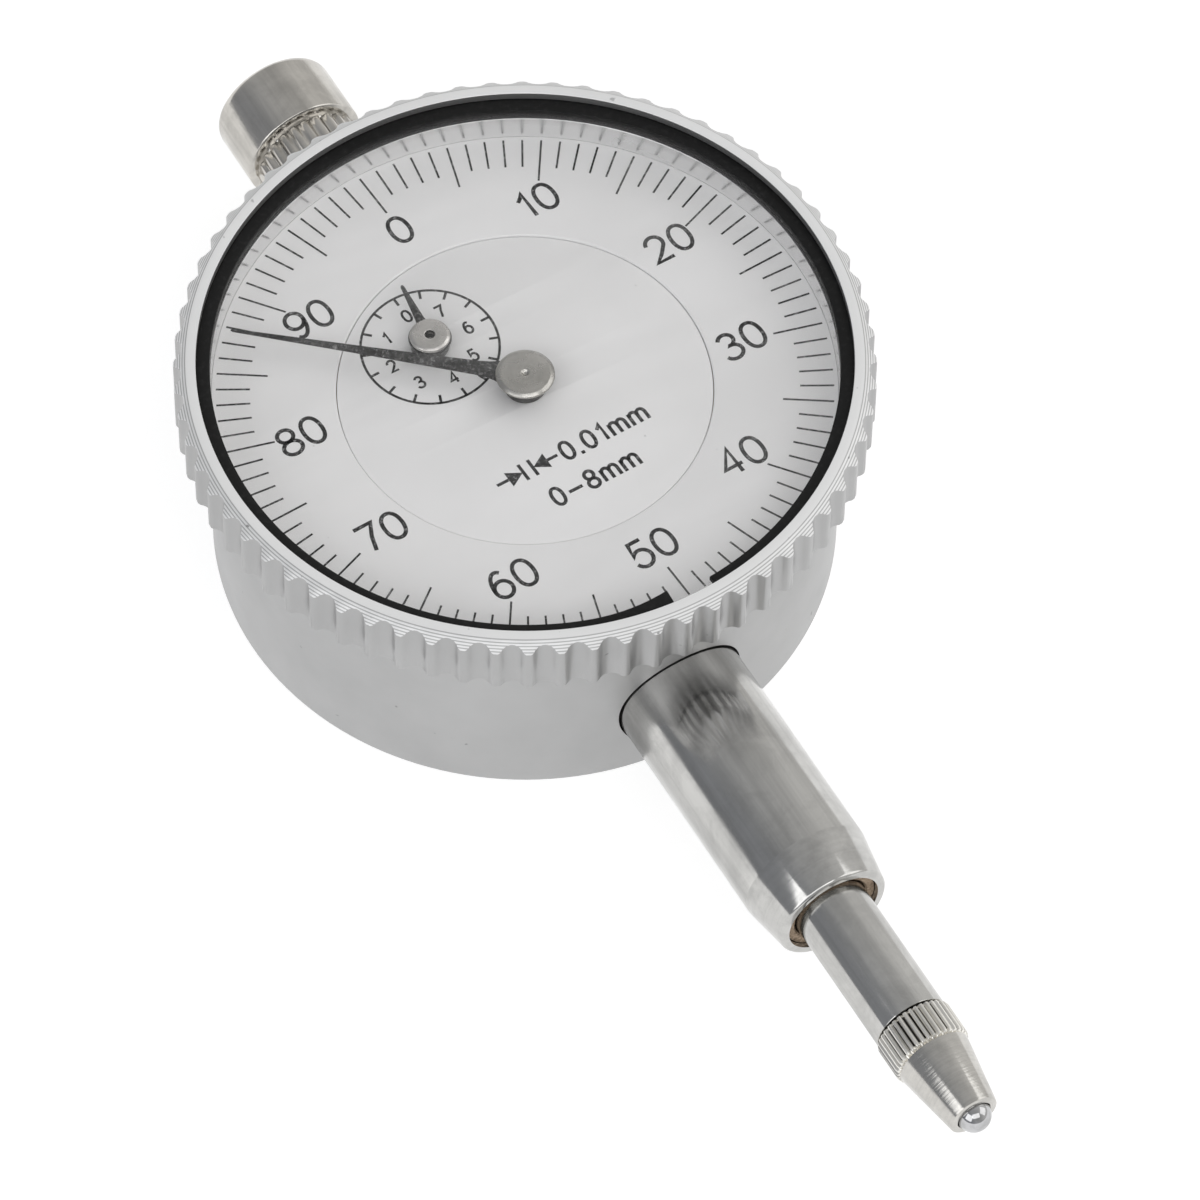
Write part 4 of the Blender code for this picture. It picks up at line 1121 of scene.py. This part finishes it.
def turned_about(point, centre, degrees):
    cos, sin = math.cos(math.radians(degrees)), math.sin(math.radians(degrees))
    x, y = point[0] - centre[0], point[1] - centre[1]
    return (centre[0] + x * cos - y * sin, centre[1] + x * sin + y * cos)


def write(builder, text, centre, height, digit_width, gap, pen, tilt, low, high):
    """Draws the text with a flat pen, centred on a point and tilted anticlockwise."""
    widths = [WIDTHS.get(c, 1.0) * (digit_width - pen) + pen for c in text]
    left = centre[0] - (sum(widths) + gap * (len(text) - 1)) / 2
    for character, width in zip(text, widths):
        for stroke in STROKES[character]:
            placed = []
            for x, y in stroke:
                px = left + pen / 2 + x * (width - pen)
                py = centre[1] - height / 2 + pen / 2 + y * (height - pen)
                placed.append(turned_about((px, py), centre, tilt))
            ribbon(builder, placed, pen, low, high)
        left += width + gap


INK_DEPTH = 0.02
INK_HEIGHT = 0.012


def make_dial_ring():
    """The outer ring with its hundred divisions, which turns with the bezel."""
    low = span("dial_ring")[0].z
    outer_r = radius_of("dial_ring") + 0.06
    inner_r = DISC_R + 0.045
    rim = [
        (outer_r, DIAL_Z),
        (outer_r, low),
        (inner_r, low),
        (inner_r, DIAL_Z - 0.07),
        (inner_r + 0.08, DIAL_Z),
    ]
    ring = lathe("dial_ring_plate", rounded(rim, 0.01, 2), 192, RING_WHITE)
    show(ring, "bezel", "dial_white", "dial_ring")

    ring_turn = -3.3
    divisions = 100
    long_from, short_from, marks_to = 15.14, 16.14, 18.14
    builder = bmesh.new()
    low, high = DIAL_Z - INK_DEPTH, DIAL_Z + INK_HEIGHT
    for i in range(divisions):
        bearing = ring_turn + 360.0 / divisions * i
        inner = long_from if i % 5 == 0 else short_from
        ends = [bearing_point(inner, bearing), bearing_point(marks_to, bearing)]
        ribbon(builder, ends, 0.12, low, high)
    # The numbers at the top sit a little further out, and those at the sides further in.
    reaches = {0: 13.68, 1: 13.68, 9: 13.68, 3: 13.2, 7: 13.2}
    for i in range(10):
        centre = bearing_point(reaches.get(i, 13.55), ring_turn + 36.0 * i)
        write(builder, str(i * 10), centre, 2.1, 1.4, 0.2, 0.245, -ring_turn, low, high)
    print_piece = to_object("dial_ring_print", builder, INK)
    show(print_piece, "bezel", "pointer_steel")


def make_disc():
    """The fixed inner disc with the turn counter's scale and the graduation text."""
    low = span("center_dial")[0].z
    holes = [ring_points(0.9, 48), ring_points(0.7, 48, COUNTER)]
    disc = plate("dial_disc_plate", [ring_points(DISC_R, 192)] + holes, low, DISC_Z, DISC_WHITE, 0.05)
    show(disc, "case", "dial_white", "center_dial")

    tilt = 2.4
    builder = bmesh.new()
    low, high = DISC_Z - INK_DEPTH, DISC_Z + INK_HEIGHT
    scale_r = 4.1
    ribbon(builder, arc(scale_r, 0, 360, 97, COUNTER), 0.15, low, high)
    for i in range(16):
        bearing = -tilt - 22.5 * i
        ends = [bearing_point(r, bearing, COUNTER) for r in (scale_r - 0.58, scale_r)]
        ribbon(builder, ends, 0.16, low, high)
    for i in range(8):
        centre = bearing_point(2.62, -tilt - 45.0 * i, COUNTER)
        write(builder, str(i), centre, 0.95, 0.6, 0.1, 0.145, tilt, low, high)

    write(builder, "0.01mm", (2.45, -4.92), 1.45, 0.88, 0.16, 0.215, tilt, low, high)
    write(builder, "0-8mm", (0.4, -7.5), 1.45, 0.88, 0.16, 0.215, tilt, low, high)

    symbol_centre = (0.25, -5.0)

    def symbol_point(x, y):
        return turned_about((x, symbol_centre[1] + y), symbol_centre, tilt)

    arrows = ((-3.05, -3.1, -4.05, -4.85), (-2.4, -2.35, -1.42, -0.72))
    for bar_x, point_x, head_x, tail_x in arrows:
        ribbon(builder, [symbol_point(bar_x, -0.62), symbol_point(bar_x, 0.62)], 0.2, low, high)
        ribbon(builder, [symbol_point(tail_x, 0), symbol_point(head_x, 0)], 0.2, low, high)
        corners = [symbol_point(point_x, 0), symbol_point(head_x, 0.55), symbol_point(head_x, -0.55)]
        upper = [builder.verts.new((*corner, high)) for corner in corners]
        lower = [builder.verts.new((*corner, low)) for corner in corners]
        builder.faces.new(upper)
        builder.faces.new(lower)
        walls(builder, upper, lower)
    print_piece = to_object("dial_disc_print", builder, INK)
    show(print_piece, "case", "pointer_steel")


# Pointers


def pointer_blade(name, eye_r, bore_r, stages, heights, bearing, centre):
    """A flat pointer: an eye round the hub and a blade through (distance, half width) stages."""
    right = [(half, distance) for distance, half in stages]
    left = [(-half, distance) for distance, half in reversed(stages)]
    start = math.degrees(math.asin(stages[0][1] / eye_r))
    outline = right + left + arc(eye_r, -start, start - 360, 49)[1:-1]
    loops = []
    for loop in (outline, ring_points(bore_r, 48)):
        turned = [turned_about(point, (0, 0), -bearing) for point in loop]
        loops.append([(x + centre[0], y + centre[1]) for x, y in turned])
    return plate(name, loops, heights[0], heights[1], POINTER, 0.02)


def make_main_pointer():
    low, high = span("main_pointer")
    flare = [(1.38, 0.84), (1.75, 0.68), (2.2, 0.57), (2.9, 0.5)]
    stages = flare + [(9.0, 0.3), (17.45, 0.1), (17.6, 0.04)]
    blade = pointer_blade("main_pointer_blade", 1.62, 1.3, stages, (low.z, high.z), -49.8, (0, 0))
    show(blade, "center_shaft", "pointer_steel", "main_pointer")
    bottom, top = (corner.z for corner in span("main_pointer_hub"))
    shelf = high.z + 0.03
    hub_r = radius_of("main_pointer_hub")
    outline = [
        (0, top - 0.16),
        (0.12, top - 0.13),
        (0.24, top - 0.01),
        (0.3, top),
        (hub_r - 0.26, top),
        (hub_r - 0.04, top - 0.15),
        (hub_r, top - 0.24),
        (hub_r - 0.01, shelf + 0.06),
        (hub_r - 0.08, shelf),
        (1.25, shelf),
        (1.25, bottom),
        (0.39, bottom),
        (0.39, top - 0.34),
        (0, top - 0.34),
    ]
    outline = rounded(outline, 0.03, 2, closed=False)
    hub = lathe("main_hub", outline, 96, HUB_STEEL, closed=False, sharp=40)
    finish_below(hub, DARK_STEEL_AND_SHADE, 2, shelf - 0.01)
    show(hub, "center_shaft", "hub_steel", "main_pointer_hub")


def make_counter_pointer():
    low, high = span("counter_pointer")
    stages = [(1.15, 0.34), (1.5, 0.27), (4.05, 0.11), (4.15, 0.05)]
    blade = pointer_blade("counter_pointer_blade", 1.28, 1.18, stages, (low.z, high.z), 5.5, COUNTER)
    show(blade, "counter_shaft", "pointer_steel", "counter_pointer")
    bottom, top = (corner.z for corner in span("counter_pointer_hub"))
    shelf = high.z + 0.03
    drum_r = 1.15
    hub_r = radius_of("counter_pointer_hub")
    outline = [
        (0.3, top - 0.03),
        (0.34, top),
        (hub_r - 0.2, top),
        (hub_r - 0.04, top - 0.1),
        (hub_r, top - 0.18),
        (hub_r - 0.01, shelf + 0.05),
        (hub_r - 0.06, shelf),
        (drum_r, shelf),
        (drum_r, bottom),
        (0.39, bottom),
        (0.39, top - 0.43),
        (0.3, top - 0.43),
    ]
    hub = lathe("counter_hub", rounded(outline, 0.03, 2), 80, SMALL_HUB_STEEL, COUNTER_AXIS, sharp=40)
    # The lower drum is a darkened collar under the bright disc.
    finish_below(hub, DARK_STEEL_AND_SHADE, 2, shelf - 0.01)
    show(hub, "counter_shaft", "hub_steel", "counter_pointer_hub")


# Inner pieces kept from the CAD model

KEPT = (
    (BRONZE, ["upper_bushing"]),
    (DARK_STEEL_AND_SHADE, ["counter_arbor"]),
    (SPRING_STEEL, ["bezel_retaining_ring", "hairspring"]),
    (
        BRASS,
        ["movement_plate", "base_plate", "center_bridge", "center_dial_support"]
        + ["drive_gear", "takeup_gear", "hairspring_stud", "hairspring_collet"]
        + ["plate_pillar_" + str(i) for i in range(1, 5)],
    ),
    (
        STEEL,
        ["spring_post", "guide_pin", "spring_pin", "rack_pinion"]
        + ["center_arbor", "center_pinion", "takeup_arbor"]
        + ["plate_screw_" + str(i) for i in range(1, 5)]
        + ["movement_screw_" + str(i) for i in range(1, 4)],
    ),
)


def finish_kept():
    for finish, names in KEPT:
        for name in names:
            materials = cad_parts[name].data.materials
            if not materials:
                materials.append(finish)
            for i in range(len(materials)):
                materials[i] = finish


make_case()
make_cover()
make_stem()
make_cap()
make_spindle()
make_contact()
make_return_spring()
make_bezel()
make_crystal_disc()
make_snap_ring()
make_dial_ring()
make_disc()
make_main_pointer()
make_counter_pointer()
finish_kept()
